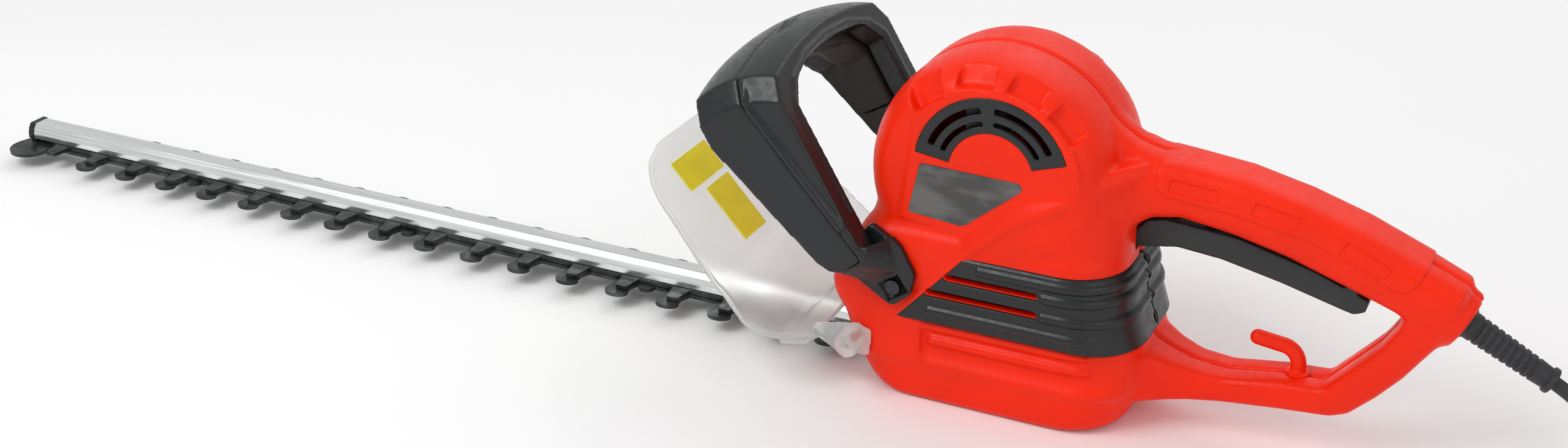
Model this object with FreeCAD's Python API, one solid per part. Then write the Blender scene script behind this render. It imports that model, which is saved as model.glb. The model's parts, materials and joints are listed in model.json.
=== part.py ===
"""Corded electric hedge trimmer with a vertical motor, a single reciprocating blade, a bail front
handle with its own switch lever, a D-shaped rear handle with a long trigger, and a clear hand guard.

Row frame, millimetres: +X runs from the blade tip towards the rear handle, +Y is the machine's right
side, +Z is up. The origin is on the resting face, straight below the motor shaft.
"""
import FreeCAD, Part
import math
import os

os.makedirs("parts", exist_ok=True)

V = FreeCAD.Vector
X_AXIS = V(1, 0, 0)
Y_AXIS = V(0, 1, 0)
Z_AXIS = V(0, 0, 1)

# ---- driving dimensions ------------------------------------------------------------------------
TOOTH_PITCH = 30.0          # comb teeth on one side, for 16 mm twigs
NEAR_TEETH = 17             # teeth on the -Y side; the +Y side has one fewer, half a pitch on
LAST_TOOTH_X = -83.0        # tooth nearest to the housing, on the -Y side
COMB_TOP_Z = 9.6            # the comb's upper face, on which the moving blade slides
BLADE_THICKNESS = 2.0
SLIDE_GAP = 0.3             # between the comb, the moving blade and the guard bar
SPINE_HALF = 9.0            # half width of the comb's spine
TOOTH_REACH = 24.8          # tooth tips from the centre line
STROKE = 16.0               # travel of the moving blade; it rests at the rear end of it
COMB_FRONT_X = -612.0
BLADE_FRONT_X = -597.5      # clears the tip cap by a millimetre at the front end of its travel
BAR_FRONT_X = -614.5
BAR_REAR_X = -48.0
BAR_HEIGHT = 8.6

WALL = 2.5                  # moulded shells
BODY_HALF = 42.0            # half width of the lower housing
NECK_HALF = 38.0            # half width of the flat side faces of the upper housing
DOME_Z = 114.0              # centre of the round motor dome, over the motor shaft
DOME_RADIUS = 59.0
DOME_FLAT_RADIUS = 46.5     # flat round side face
GRIP_HALF = 15.8            # half width of the rear handle
HANDLE_WALL = 3.2
BEAM_HALF = 13.0            # half width of the rear handle's lower beam and strut

GEAR_MODULE = 1.0
PINION_TEETH = 10
GEAR_TEETH = 46
CRANK_THROW = STROKE / 2
GEAR_X = -GEAR_MODULE * (PINION_TEETH + GEAR_TEETH) / 2
GEAR_Z = 24.5
GEAR_FACE = 7.0
PIN_RADIUS = 4.0
PIN_GAP = 0.4               # the crank pin stops this far above the yoke

LEAN = math.radians(31.0)   # forward lean of the front handle
BAIL_FOOT = (-47.0, 82.0)   # rear lower corner of the handle's legs, as X and Z
BAIL_HALF = 62.0            # half width over the legs
BAIL_HEIGHT = 98.0          # from the leg's lower corner to the crown, along the lean

CORD_DIAMETER = 6.4
CORD_EXIT = (250.6, 0.0, 58.6)
RUN_FIT = 0.05              # radial clearance of a running fit
FREE_GAP = 0.4              # clearance round parts that move


# ---- small helpers -----------------------------------------------------------------------------
def prism_y(points, y0, y1):
    """Extrude an X-Z outline from y0 to y1."""
    corners = [V(x, y0, z) for x, z in points]
    wire = Part.makePolygon(corners + corners[:1])
    return Part.Face(wire).extrude(V(0, y1 - y0, 0))


def prism_z(points, z0, z1):
    """Extrude an X-Y outline from z0 to z1."""
    corners = [V(x, y, z0) for x, y in points]
    wire = Part.makePolygon(corners + corners[:1])
    return Part.Face(wire).extrude(V(0, 0, z1 - z0))


def prism_x(points, x0, x1):
    """Extrude a Y-Z outline from x0 to x1."""
    corners = [V(x0, y, z) for y, z in points]
    wire = Part.makePolygon(corners + corners[:1])
    return Part.Face(wire).extrude(V(x1 - x0, 0, 0))


def block(x0, x1, y0, y1, z0, z1):
    return Part.makeBox(x1 - x0, y1 - y0, z1 - z0, V(x0, y0, z0))


def rod(start, direction, length, radius):
    return Part.makeCylinder(radius, length, start, direction)


def tube(start, direction, length, outer, inner):
    return rod(start, direction, length, outer).cut(rod(start, direction, length, inner))


def cone(start, direction, length, radius0, radius1):
    return Part.makeCone(radius0, radius1, length, start, direction)


def join(first, *others):
    result = first
    for other in others:
        result = result.fuse(other)
    return result.removeSplitter()


def mirrored(shape):
    """The same piece on the other side of the machine."""
    return shape.mirror(V(0, 0, 0), Y_AXIS)


def rounded(shape, radius, pick):
    """Round the edges that pick(edge) chooses, or leave the shape as it is if that can't be built."""
    edges = [edge for edge in shape.Edges if pick(edge)]
    if not edges:
        return shape
    try:
        result = shape.makeFillet(radius, edges)
    except Part.OCCError:
        print("fillet of %.1f mm not built" % radius)
        return shape
    return result if result.isValid() and result.Volume > 0 else shape


def bevelled(shape, size, line):
    """Flat bevel along the edges that follow an outline's runs."""
    return shape.makeChamfer(size, [edge for edge in shape.Edges if edge_on_line(edge, line)])


def along(edge, axis):
    """True for a straight edge that runs along axis."""
    if edge.Curve.TypeId != "Part::GeomLine":
        return False
    return abs(edge.tangentAt(edge.FirstParameter).dot(axis)) > 0.999


def slot_plate(x0, x1, y, half, z0, z1):
    """A flat bar with round ends along X."""
    bar = block(x0 + half, x1 - half, y - half, y + half, z0, z1)
    ends = [rod(V(x, y, z0), Z_AXIS, z1 - z0, half) for x in (x0 + half, x1 - half)]
    return join(bar, *ends)


nodes = {}


def add(name, shape):
    nodes[name] = shape


# ---- blade assembly ----------------------------------------------------------------------------
def near_tooth_positions():
    return [LAST_TOOTH_X - TOOTH_PITCH * i for i in range(NEAR_TEETH)]


def far_tooth_positions():
    return [x - TOOTH_PITCH / 2 for x in near_tooth_positions()[:-1]]


def comb_tooth(x, side, z0, z1):
    """A waisted finger that ends in a blunt round lobe, so that it can't cut."""
    root_half, waist_half, lobe_half, lobe_length = 7.5, 5.0, 6.4, 4.6
    lobe_y = TOOTH_REACH - lobe_length
    finger = prism_z([(x - root_half, side * (SPINE_HALF - 1)), (x + root_half, side * (SPINE_HALF - 1)),
                      (x + waist_half, side * 14.5), (x + lobe_half - 0.8, side * lobe_y),
                      (x - lobe_half + 0.8, side * lobe_y), (x - waist_half, side * 14.5)], z0, z1)
    lobe = Part.Ellipse(V(x, side * lobe_y, z0), lobe_half, lobe_length).toShape()
    return finger.fuse(Part.Face(Part.Wire(lobe)).extrude(V(0, 0, z1 - z0)))


def comb():
    z1 = COMB_TOP_Z
    z0 = z1 - BLADE_THICKNESS
    shape = block(COMB_FRONT_X, COMB_REAR_X, -SPINE_HALF, SPINE_HALF, z0, z1)
    pieces = [comb_tooth(x, -1, z0, z1) for x in near_tooth_positions()]
    pieces += [comb_tooth(x, 1, z0, z1) for x in far_tooth_positions()]
    bump_radius, bump_behind_tooth = 4.6, 18.0
    for x in near_tooth_positions()[3::5]:
        bump = V(x - bump_behind_tooth, -SPINE_HALF, z0)
        pieces.append(rod(bump, Z_AXIS, z1 - z0, bump_radius))
    shape = shape.multiFuse(pieces + tip_guard(z0, z1)).removeSplitter()
    for x in BAR_BOLTS:
        shape = shape.cut(rod(V(x, 0, z0 - 1), Z_AXIS, 5, BOLT_RADIUS + 0.1))
    return shape


def tip_guard(z0, z1):
    """Blunt round lobe on the near side of the tip, and the web that carries it."""
    lobe = rod(V(COMB_FRONT_X, -13.5, z0), Z_AXIS, z1 - z0, 12.0)
    web = prism_z([(COMB_FRONT_X + 11.8, -12), (COMB_FRONT_X + 22, -SPINE_HALF), (COMB_FRONT_X, SPINE_HALF),
                   (COMB_FRONT_X - 6, SPINE_HALF - 1), (COMB_FRONT_X - 12, -11)], z0, z1)
    return [lobe, web]


BAR_BOLTS = [-590.0, -470.0, -350.0, -230.0, -110.0, -56.0]
BOLT_RADIUS = 2.0
COMB_REAR_X = -12.0
SLOT_HALF = 3.4


def moving_blade():
    """Toothed strip that slides over the comb, with a crosswise yoke slot for the crank pin."""
    z0 = COMB_TOP_Z + SLIDE_GAP
    z1 = z0 + BLADE_THICKNESS
    shape = block(BLADE_FRONT_X, -30, -SPINE_HALF + 0.4, SPINE_HALF - 0.4, z0, z1)
    pieces = []
    offset, root_half, tip_half, reach = 2.2, 5.2, 3.0, 19.4
    for side, positions in ((-1, near_tooth_positions()), (1, far_tooth_positions())):
        first = [positions[-1] - TOOTH_PITCH] if side < 0 else []
        for x in positions + first:
            middle = x + offset
            pieces.append(prism_z([(middle - root_half, side * 8), (middle + root_half, side * 8),
                                   (middle + tip_half, side * reach), (middle - tip_half, side * reach)],
                                  z0, z1))
    yoke_x = GEAR_X + CRANK_THROW
    yoke = rounded(block(yoke_x - 11, yoke_x + 11, -17, 17, z0, z1), 5, lambda e: along(e, Z_AXIS))
    shape = shape.multiFuse(pieces + [yoke]).removeSplitter()
    slot_half = PIN_RADIUS + 0.2
    slot_end = CRANK_THROW + slot_half + 1.8
    pin_slot = slot_plate(-slot_end, slot_end, 0, slot_half, z0 - 1, z1 + 1)
    pin_slot.rotate(V(0, 0, 0), Z_AXIS, 90)
    pin_slot.translate(V(yoke_x, 0, 0))
    shape = shape.cut(pin_slot)
    slot_spare = 0.6
    for x in BAR_BOLTS:
        bolt_slot = slot_plate(x - SLOT_HALF - slot_spare, x + STROKE + SLOT_HALF + slot_spare, 0, SLOT_HALF,
                               z0 - 1, z1 + 1)
        shape = shape.cut(bolt_slot)
    return shape


def bar_section(inset):
    """Half-round-shouldered section of the guard bar, as Y and Z."""
    z0 = COMB_TOP_Z + 2 * SLIDE_GAP + BLADE_THICKNESS
    top = z0 + BAR_HEIGHT
    return [(-7.5 + inset, z0), (7.5 - inset, z0), (7.5 - inset, z0 + 3.0), (6.4 - inset, z0 + 6.4),
            (4.4 - inset, top - inset), (-4.4 + inset, top - inset), (-6.4 + inset, z0 + 6.4),
            (-7.5 + inset, z0 + 3.0)]


def guard_bar():
    z0 = COMB_TOP_Z + 2 * SLIDE_GAP + BLADE_THICKNESS
    shape = prism_x(bar_section(0), BAR_FRONT_X, BAR_REAR_X)
    groove_z0 = z0 - 1
    for y0, y1 in ((-5.2, -3.4), (3.4, 5.2)):
        shape = shape.cut(block(BAR_FRONT_X - 1, BAR_REAR_X + 1, y0, y1, groove_z0, z0 + 4.0))
    for x in BAR_BOLTS:
        shape = shape.cut(rod(V(x, 0, z0 - 1), Z_AXIS, BAR_HEIGHT - 1.2, BOLT_RADIUS + 0.1))
    return shape


def bar_end_cap():
    """Moulded cap on the tip of the bar, with a tongue that stands on the comb."""
    length = 3.4
    cap = prism_x(bar_section(-0.5), BAR_FRONT_X - length, BAR_FRONT_X)
    foot = block(BAR_FRONT_X - length, BAR_FRONT_X, -6.5, 6.5, COMB_TOP_Z, COMB_TOP_Z + 4)
    return rounded(join(cap, foot), 0.8, lambda e: along(e, Y_AXIS) and e.CenterOfMass.z > 18)


def bar_bolts():
    """Bolts that hold comb and bar together through the blade's slots, with their heads below."""
    comb_bottom = COMB_TOP_Z - BLADE_THICKNESS
    bolts = []
    for x in BAR_BOLTS:
        shank = rod(V(x, 0, comb_bottom), Z_AXIS, 10.4, BOLT_RADIUS)
        head = cone(V(x, 0, comb_bottom - 1.8), Z_AXIS, 1.8, 3.6, 4.2)
        bolts.append(shank.fuse(head))
    return Part.makeCompound(bolts)


def blade_bushes():
    """Bushes that space the bar off the comb and guide the slots of the moving blade."""
    height = BLADE_THICKNESS + 2 * SLIDE_GAP
    return Part.makeCompound([tube(V(x, 0, COMB_TOP_Z), Z_AXIS, height, SLOT_HALF - 0.35, BOLT_RADIUS + 0.1)
                              for x in BAR_BOLTS])


def blade_assembly():
    add("comb_blade", comb())
    add("moving_blade", moving_blade())
    add("guard_bar", guard_bar())
    add("bar_end_cap", bar_end_cap())
    add("bar_bolts", bar_bolts())
    add("blade_bushes", blade_bushes())


# ---- housing -----------------------------------------------------------------------------------
def body_plan(inset, half, front, rear, corner_front, corner_rear, z0, z1):
    """Rounded rectangle seen from above."""
    solid = block(front + inset, rear - inset, -half + inset, half - inset, z0, z1)
    solid = rounded(solid, corner_rear - inset, lambda e: along(e, Z_AXIS) and e.CenterOfMass.x > 0)
    return rounded(solid, corner_front - inset, lambda e: along(e, Z_AXIS) and e.CenterOfMass.x < -20)


def side_profile(inset):
    """Side view of the body below the dome, as X and Z."""
    i = inset
    return [(-50 + i, 0 + i), (-57 + i, 9 + i), (-61 + i, 16 + i / 2), (-68 + i, 36), (-75 + i, 45),
            (-76 + i, 52), (-73 + i, 59 - i / 2), (-67 + i, 71 - i), (-56 + i, 91 - i), (-51 + i, 112),
            (0, 118), (63 - i, 114), (65 - i, 100), (66 - i, 80), (70 - i, 60), (76 - i, 44),
            (77 - i, 24), (73 - i, 15), (71 - i, 4), (67 - i, 0 + i)]


def dome(inset):
    """Round motor dome: flat side faces with a swept shoulder up to the crown."""
    side = NECK_HALF - inset
    flat = DOME_FLAT_RADIUS - inset / 2
    crown = DOME_RADIUS - inset
    crown_half = 13.0
    start = V(flat, side, 0)
    end = V(crown, crown_half, 0)
    bulge = V(flat + 0.72 * (crown - flat), crown_half + 0.72 * (side - crown_half), 0)
    shoulder = Part.Arc(start, bulge, end)
    other = Part.Arc(V(crown, -crown_half, 0), V(bulge.x, -bulge.y, 0), V(flat, -side, 0))
    edges = [Part.LineSegment(V(0, side, 0), start), shoulder,
             Part.LineSegment(end, V(crown, -crown_half, 0)), other,
             Part.LineSegment(V(flat, -side, 0), V(0, -side, 0)),
             Part.LineSegment(V(0, -side, 0), V(0, side, 0))]
    face = Part.Face(Part.Wire([edge.toShape() for edge in edges]))
    solid = face.revolve(V(0, 0, 0), Y_AXIS, 360)
    solid.translate(V(0, 0, DOME_Z))
    return solid


SKIRT_STEP = 1.4
SKIRT_TOP_Z = 20.0
SHOULDER_Z = 84.0


def body(inset):
    """Motor and gear body; the shell's cavity is the same form with an inset."""
    profile = prism_y(side_profile(inset), -60, 60)
    lower = body_plan(inset, BODY_HALF, -76, 77, 16, 30, 0, SHOULDER_Z - inset)
    skirt = body_plan(inset, BODY_HALF - SKIRT_STEP, -76, 77 - SKIRT_STEP, 16, 30, 0, SKIRT_TOP_Z)
    lower = lower.cut(block(-90, 90, -60, 60, -1, SKIRT_TOP_Z)).fuse(skirt)
    upper = body_plan(inset, NECK_HALF, -56, 66, 14, 26, 80, 120)
    mass = lower.common(profile).fuse(upper.common(profile))
    return mass.fuse(dome(inset)).removeSplitter()


GRIP_BEVEL = 5.0
SADDLE_THICKNESS = 0.7
GRIP_TOP = [(44, 134.5), (74, 133.5), (112, 130), (139, 124), (165, 116), (192, 105), (212, 96)]
GRIP_BOTTOM = [(201, 69), (186, 79), (173, 84.3), (132, 98), (92, 106), (66, 105), (50, 100)]
BEAM_OUTLINE = [(60, 8), (76, 12), (113, 18), (165, 23), (170, 30), (161, 37), (138, 36), (108, 31.5),
                (88, 33.5), (77, 40), (68, 55), (58, 55)]
STRUT_OUTLINE = [(161, 37), (165, 23), (189, 47), (206, 69), (209, 75), (200, 84), (186, 79), (178, 62)]


def shrunk(points, inset):
    """The outline moved inwards by inset."""
    middle_wire = Part.makePolygon([V(x, 0, z) for x, z in points + points[:1]])
    offset = middle_wire.makeOffset2D(-inset, 2, False, False, False)
    return Part.Face(offset)


def slab(points, inset, half):
    """Outline in X-Z with an inset, extruded to both sides of the middle plane."""
    if inset == 0:
        return prism_y(points, -half, half)
    face = shrunk(points, inset)
    face.translate(V(0, -half + inset, 0))
    return face.extrude(V(0, 2 * (half - inset), 0))


def rear_handle(inset):
    grip = slab(GRIP_TOP + GRIP_BOTTOM, inset, GRIP_HALF)
    if inset == 0:
        grip = bevelled(grip, GRIP_BEVEL, GRIP_TOP[1:])
    beam = slab(BEAM_OUTLINE, inset, BEAM_HALF)
    strut = slab(STRUT_OUTLINE, inset, BEAM_HALF)
    return join(grip, beam, strut)


def edge_on_line(edge, points):
    """True for an edge that runs along one of the outline's runs."""
    middle = edge.CenterOfMass
    if abs(middle.y) < 1 or along(edge, Y_AXIS):
        return False
    for (x0, z0), (x1, z1) in zip(points, points[1:]):
        if abs(middle.x - (x0 + x1) / 2) < 0.5 and abs(middle.z - (z0 + z1) / 2) < 0.5:
            return True
    return False


TRIGGER_OUTLINE = [(63.5, 86.5), (64.5, 95), (70, 101), (78, 103), (112, 100.5), (146, 92), (171, 82.5),
                   (170, 77), (165, 74.6), (160, 75.2), (132, 82.4), (105, 88), (82, 90)]
GLAND_CENTRE = V(206.0, 0.0, 81.4)
GLAND_DIRECTION = V(0.89, 0.0, -0.456)


def gland_collar():
    """Round boss at the end of the grip through which the cord guard leaves."""
    return rod(GLAND_CENTRE + GLAND_DIRECTION * -8, GLAND_DIRECTION, 15, 14.0)


def vent_sector(radius0, radius1, y0, y1, half_angle):
    """Arc-shaped slab on the side face, open downwards and tilted a little forward."""
    ring = tube(V(GRILLE_X, y0, GRILLE_Z), Y_AXIS, y1 - y0, radius1, radius0)
    reach = 1.6 * GRILLE_OUTER
    wedge = [(GRILLE_X, GRILLE_Z)]
    for share in (-1, -1 / 3, 1 / 3, 1):
        angle = math.radians(share * half_angle - GRILLE_TILT)
        wedge.append((GRILLE_X + reach * math.sin(angle), GRILLE_Z + reach * math.cos(angle)))
    return ring.common(prism_y(wedge, y0, y1))


GRILLE_X = 5.0
GRILLE_Z = 122.5
GRILLE_OUTER = 37.0
GRILLE_INNER = 20.2
GRILLE_ANGLE = 77.0
GRILLE_TILT = 5.0


def side_slots(y0, y1):
    """Two long air outlets in the side, in line with the fan."""
    return join(slot_along(-12, 30, 69.5, y0, y1), slot_along(-21, 30, 60.0, y0, y1))


def slot_along(x0, x1, z, y0, y1):
    half = 1.7
    bar = block(x0, x1, y0, y1, z - half, z + half)
    ends = [rod(V(x, y0, z), Y_AXIS, y1 - y0, half) for x in (x0, x1)]
    return join(bar, *ends)


def stator_ribs():
    """Ribs inside the left shell that hold the stator pack."""
    room = rod(V(0, 0, 60), Z_AXIS, 60, STATOR_RADIUS)
    return [block(-6, 6, -60, -20, z, z + 3).cut(room) for z in (76.0, 104.0)]


def inner_shelves():
    """Shelves in the grip over the trigger's spring and under the cord's clamp."""
    over_spring = block(TRIGGER_SPRING_X - 6, TRIGGER_SPRING_X + 6, -GRIP_HALF, 0, SPRING_TOP_Z, SPRING_TOP_Z + 2)
    under_clamp = block(180, 190, -GRIP_HALF, 0, CLAMP_Z - 2, CLAMP_Z)
    return [over_spring, under_clamp]


TRIGGER_SPRING_X = 82.0
SPRING_TOP_Z = 116.6
CLAMP_Z = 90.0


STATOR_RADIUS = 29.0


def housing_half():
    """Left half of the two-part shell, open at the middle plane."""
    keep = block(-100, 240, -80, 0, -5, 200)
    shell = body(0).common(keep).fuse(rear_handle(0).common(keep)).fuse(gland_collar().common(keep))
    shell = shell.removeSplitter()
    shell = shell.cut(body(WALL)).cut(rear_handle(HANDLE_WALL))
    inside = body(1.0).common(keep).fuse(rear_handle(1.0).common(keep))
    for piece in stator_ribs() + screw_posts() + inner_shelves():
        shell = shell.fuse(piece.common(inside))
    shell = shell.cut(block(-80, -45, -14.5, 14.5, 3.5, 22.8))
    shell = shell.cut(block(-46, 30, -30, 30, -1, WALL + 0.5))
    shell = shell.cut(trigger_room())
    shell = shell.cut(rod(GLAND_CENTRE + GLAND_DIRECTION * -30, GLAND_DIRECTION, 60, 7.4))
    shell = shell.cut(vent_sector(GRILLE_INNER + 2, GRILLE_OUTER - 2, -60, -30, GRILLE_ANGLE - 4))
    shell = shell.cut(side_slots(-60, -30))
    return shell


def trigger_room():
    """Slot in the grip that the trigger moves up into."""
    room = slab(TRIGGER_OUTLINE, -1.0, 8.6)
    return room.fuse(room.translated(V(-1.5, 0, 7.0)))


# X, Z and the Y of the shell's right face at each screw
HOUSING_SCREWS = [(-64, 52, 41.5), (-42, 108, 37), (52, 108, 34.5), (60, 27, 39), (196, 92, GRIP_HALF),
                  (172, 36, BEAM_HALF)]
SCREW_RADIUS = 1.5
SCREW_REACH = 8.0
HEAD_SINK = 3.0
HEAD_HEIGHT = 1.8
HEAD_RADIUS = 2.9


def screw_posts():
    """Posts inside the shell that take the housing screws."""
    return [rod(V(x, -60, z), Y_AXIS, 60, 4.0) for x, z, _ in HOUSING_SCREWS]


def threaded_side(shell):
    """Left shell with a blind hole in each post."""
    for x, z, _ in HOUSING_SCREWS:
        shell = shell.cut(rod(V(x, -SCREW_REACH - 0.8, z), Y_AXIS, SCREW_REACH + 2, SCREW_RADIUS))
    return largest(shell)


def head_side(shell):
    """Right shell with a through hole and a sunk seat for each screw head."""
    for x, z, face in HOUSING_SCREWS:
        shell = shell.cut(rod(V(x, -1, z), Y_AXIS, 60, SCREW_RADIUS + 0.2))
        shell = shell.cut(rod(V(x, face - HEAD_SINK, z), Y_AXIS, 30, HEAD_RADIUS + 0.25))
    return largest(shell)


def without_fittings(shell):
    """Shell with the holes of the screws, the pin and the hook that go into it."""
    for fitting in (bail_screws(), guard_screws(), trigger_pin(), cable_hook()):
        shell = shell.cut(fitting)
    return shell


def housing():
    half = without_fittings(housing_half())
    add("housing_left", threaded_side(half))
    add("housing_right", head_side(mirrored(half)))
    add("base_plate", base_plate())
    add("housing_screws", housing_screws())


def largest(shape):
    """The biggest solid of a cut, without crumbs."""
    return max(shape.Solids, key=lambda solid: solid.Volume)


def base_plate():
    """Metal plate that closes the gear well from below, flush inside the resting rim."""
    plate = block(-45.5, 29.5, -29.5, 29.5, 0, WALL)
    for x in (-38, 22):
        for y in (-23, 23):
            plate = plate.cut(cone(V(x, y, -0.1), Z_AXIS, WALL + 0.2, 3.6, 1.7))
    return plate


def housing_screws():
    screws = []
    for x, z, face in HOUSING_SCREWS:
        seat = face - HEAD_SINK
        shank = rod(V(x, -SCREW_REACH, z), Y_AXIS, SCREW_REACH + seat, SCREW_RADIUS)
        head = rod(V(x, seat, z), Y_AXIS, HEAD_HEIGHT, HEAD_RADIUS)
        slot = block(x - 2, x + 2, seat + HEAD_HEIGHT - 0.8, seat + HEAD_HEIGHT + 1, z - 0.3, z + 0.3)
        screws.append(shank.fuse(head).cut(slot))
    return Part.makeCompound(screws)


# ---- outer trim on the housing -----------------------------------------------------------------
def grille(side):
    """Arc-shaped inlet grille: two rows of slots each side of a middle spoke."""
    face = NECK_HALF + 1.0
    back = NECK_HALF
    plate = vent_sector(GRILLE_INNER, GRILLE_OUTER, back, face, GRILLE_ANGLE)
    plug = vent_sector(GRILLE_INNER + 2.2, GRILLE_OUTER - 2.2, back - 3, back, GRILLE_ANGLE - 4.5)
    plate = plate.fuse(plug)
    spoke = block(-2.8, 2.8, back - 7, face + 2, 0, 2 * GRILLE_OUTER)
    spoke.rotate(V(0, 0, 0), Y_AXIS, -GRILLE_TILT)
    spoke.translate(V(GRILLE_X, 0, GRILLE_Z))
    for inner, outer in ((23.4, 26.0), (29.6, 32.6)):
        slot = vent_sector(inner, outer, back - 6, face + 1, GRILLE_ANGLE - 10)
        plate = plate.cut(slot.cut(spoke))
    plate = plate.removeSplitter()
    return plate if side > 0 else mirrored(plate)


def band(side):
    """Ribbed dark cover that wraps from the side round the rear, with the air outlets in it."""
    thickness = 1.6
    outline = [(-37, 44.5), (-5, 80.5), (2, 81.5), (46, 80.5), (90, 84), (90, 42), (76, 42), (46, 41.5),
               (-10, 44)]
    region = prism_y(outline, 0, 70)
    outer = body_band(thickness)
    shape = outer.cut(body(0)).common(region)
    for z in (51.0, 60.0, 69.5, 76.5):
        rib = body_band(thickness + 1.3).cut(body(0)).common(block(BAND_RIB_START[z], 90, 0, 70,
                                                                     z - 1.5, z + 1.5))
        shape = shape.fuse(rib.common(region))
    shape = shape.cut(side_slots(30, 60))
    shape = largest(shape.removeSplitter())
    return shape if side > 0 else mirrored(shape)


BAND_RIB_START = {51.0: -24, 60.0: 32, 69.5: 32, 76.5: 2}


def body_band(grow):
    """The lower body's outside moved outwards by grow, between its waist and its shoulder."""
    return body_plan(-grow, BODY_HALF, -76, 77, 16, 30, 40, 84).common(prism_y(side_profile(-grow), -70, 70))


def label_plates():
    """Blank glossy name plates on both flat side faces."""
    outline = [(-28, 122.5), (20, 121.4), (20.5, 117.4), (-8, 94.5), (-33.5, 96.5)]
    right = prism_y(outline, NECK_HALF, NECK_HALF + 0.5)
    return Part.makeCompound([right, mirrored(right)])


def grip_saddle():
    """Inlay that lies over the top of the rear grip and down both sides."""
    upper = [(74, 135.2), (112, 131.6), (139, 125.6), (165, 117.6), (194, 106)]
    lower = [(190, 95), (184, 92.5), (144, 108), (109, 114.5), (80, 118), (75, 122)]
    half = GRIP_HALF + SADDLE_THICKNESS
    outline = prism_y(upper + lower, -half, half)
    outline = bevelled(outline, GRIP_BEVEL, upper)
    grip = slab(GRIP_TOP + GRIP_BOTTOM, 0, GRIP_HALF)
    grip = bevelled(grip, GRIP_BEVEL, GRIP_TOP[1:])
    return largest(outline.cut(grip).removeSplitter())


def cable_hook():
    """Hook on the lower beam that takes the strain off an extension lead's plug."""
    stem = rod(V(143, 0, 28), Z_AXIS, 12.5, 3.6)
    bend_centre = V(134.5, 0, 40.5)
    elbow = torus_quarter(bend_centre, 8.5, 3.6)
    arm = rod(V(134.5, 0, 49.0), V(-1, 0, 0.12), 11.0, 3.6)
    end = Part.makeSphere(3.6, V(134.5, 0, 49.0) + V(-1, 0, 0.12).normalize() * 11.0)
    flange = rod(V(143, 0, 36.2), Z_AXIS, 1.2, 5.6)
    return join(stem, elbow, arm, end, flange)


def torus_quarter(centre, radius, thickness):
    """Quarter bend from straight up at +X to level towards -X."""
    circle = Part.Circle(centre + V(radius, 0, 0), Z_AXIS, thickness).toShape()
    face = Part.Face(Part.Wire(circle))
    return face.revolve(centre, V(0, -1, 0), 90)


def housing_trim():
    for name, side in (("left", -1), ("right", 1)):
        add("vent_grille_" + name, grille(side))
        add("rib_band_" + name, band(side))
    add("label_plates", label_plates())
    add("grip_saddle", grip_saddle())
    add("cable_hook", cable_hook())


# ---- front bail handle -------------------------------------------------------------------------
UP = V(-math.sin(LEAN), 0, math.cos(LEAN))
FORWARD = V(-math.cos(LEAN), 0, -math.sin(LEAN))


def bail_point(forward, across, up):
    """Point in the leaning handle's own axes."""
    return V(BAIL_FOOT[0], across, BAIL_FOOT[1]) + FORWARD * forward + UP * up


def bail_loop(forward, half, chamfer_y, chamfer_up, crown, bottom):
    """Outer or inner outline of the arch at one depth: legs, cut corners and a low crown."""
    left = [bail_point(forward, -half, bottom), bail_point(forward, -half, chamfer_up[0]),
            bail_point(forward, -chamfer_y, chamfer_up[1])]
    arch = Part.Arc(bail_point(forward, -chamfer_y, chamfer_up[1]), bail_point(forward, 0, crown),
                    bail_point(forward, chamfer_y, chamfer_up[1]))
    lines = [Part.LineSegment(left[0], left[1]), Part.LineSegment(left[1], left[2]), arch,
             Part.LineSegment(bail_point(forward, chamfer_y, chamfer_up[1]),
                              bail_point(forward, half, chamfer_up[0])),
             Part.LineSegment(bail_point(forward, half, chamfer_up[0]), bail_point(forward, half, bottom)),
             Part.LineSegment(bail_point(forward, half, bottom), left[0])]
    return Part.Wire([line.toShape() for line in lines])


def bail_outer(forward):
    """Outside of the handle, widest about half way through its depth."""
    share = forward / 44.0
    swell = 4 * share * (1 - share)
    half = BAIL_HALF + 3.0 * share
    crown = BAIL_HEIGHT + 5.0 * share + 4.5 * swell
    return bail_loop(forward, half, half - 7, (crown - 19, crown - 8), crown, -2 - 8 * share)


def bail_inner(forward, gap):
    """Inside of the arch."""
    half = 48.5 - gap
    crown = 89.0 - 0.10 * forward - gap
    return bail_loop(forward, half, half - 12, (crown - 16, crown - 4), crown, -40)


def bail_front_line():
    """Side view of the handle: deep at the crown and slim at the foot."""
    local = [(-1, -6), (-1, 120), (44, 120), (44, 90), (45.5, 80), (44.5, 74), (23, 4), (19, -2), (11, -6)]
    return [bail_point(f, 0, u) for f, u in local]


def bail_body():
    loft = Part.makeLoft([bail_outer(f) for f in (0, 11, 22, 33, 44)], True, False)
    opening = Part.makeLoft([bail_inner(-1, 0), bail_inner(50, 0)], True, True)
    outline = bail_front_line()
    side = Part.Face(Part.makePolygon(outline + outline[:1])).extrude(V(0, 160, 0))
    side.translate(V(0, -80, 0))
    return loft.cut(opening).common(side)


def split_slab(front):
    """Region in front of, or behind, the joint between the handle's two shells."""
    near = [(19.0, 120), (19.0, 86), (2.5, 0), (2.0, -12)]
    far = [(80, -12), (80, 120)] if front else [(-20, -12), (-20, 120)]
    outline = [bail_point(f, 0, u) for f, u in near + far]
    region = Part.Face(Part.makePolygon(outline + outline[:1])).extrude(V(0, 160, 0))
    region.translate(V(0, -80, 0))
    return region


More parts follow.
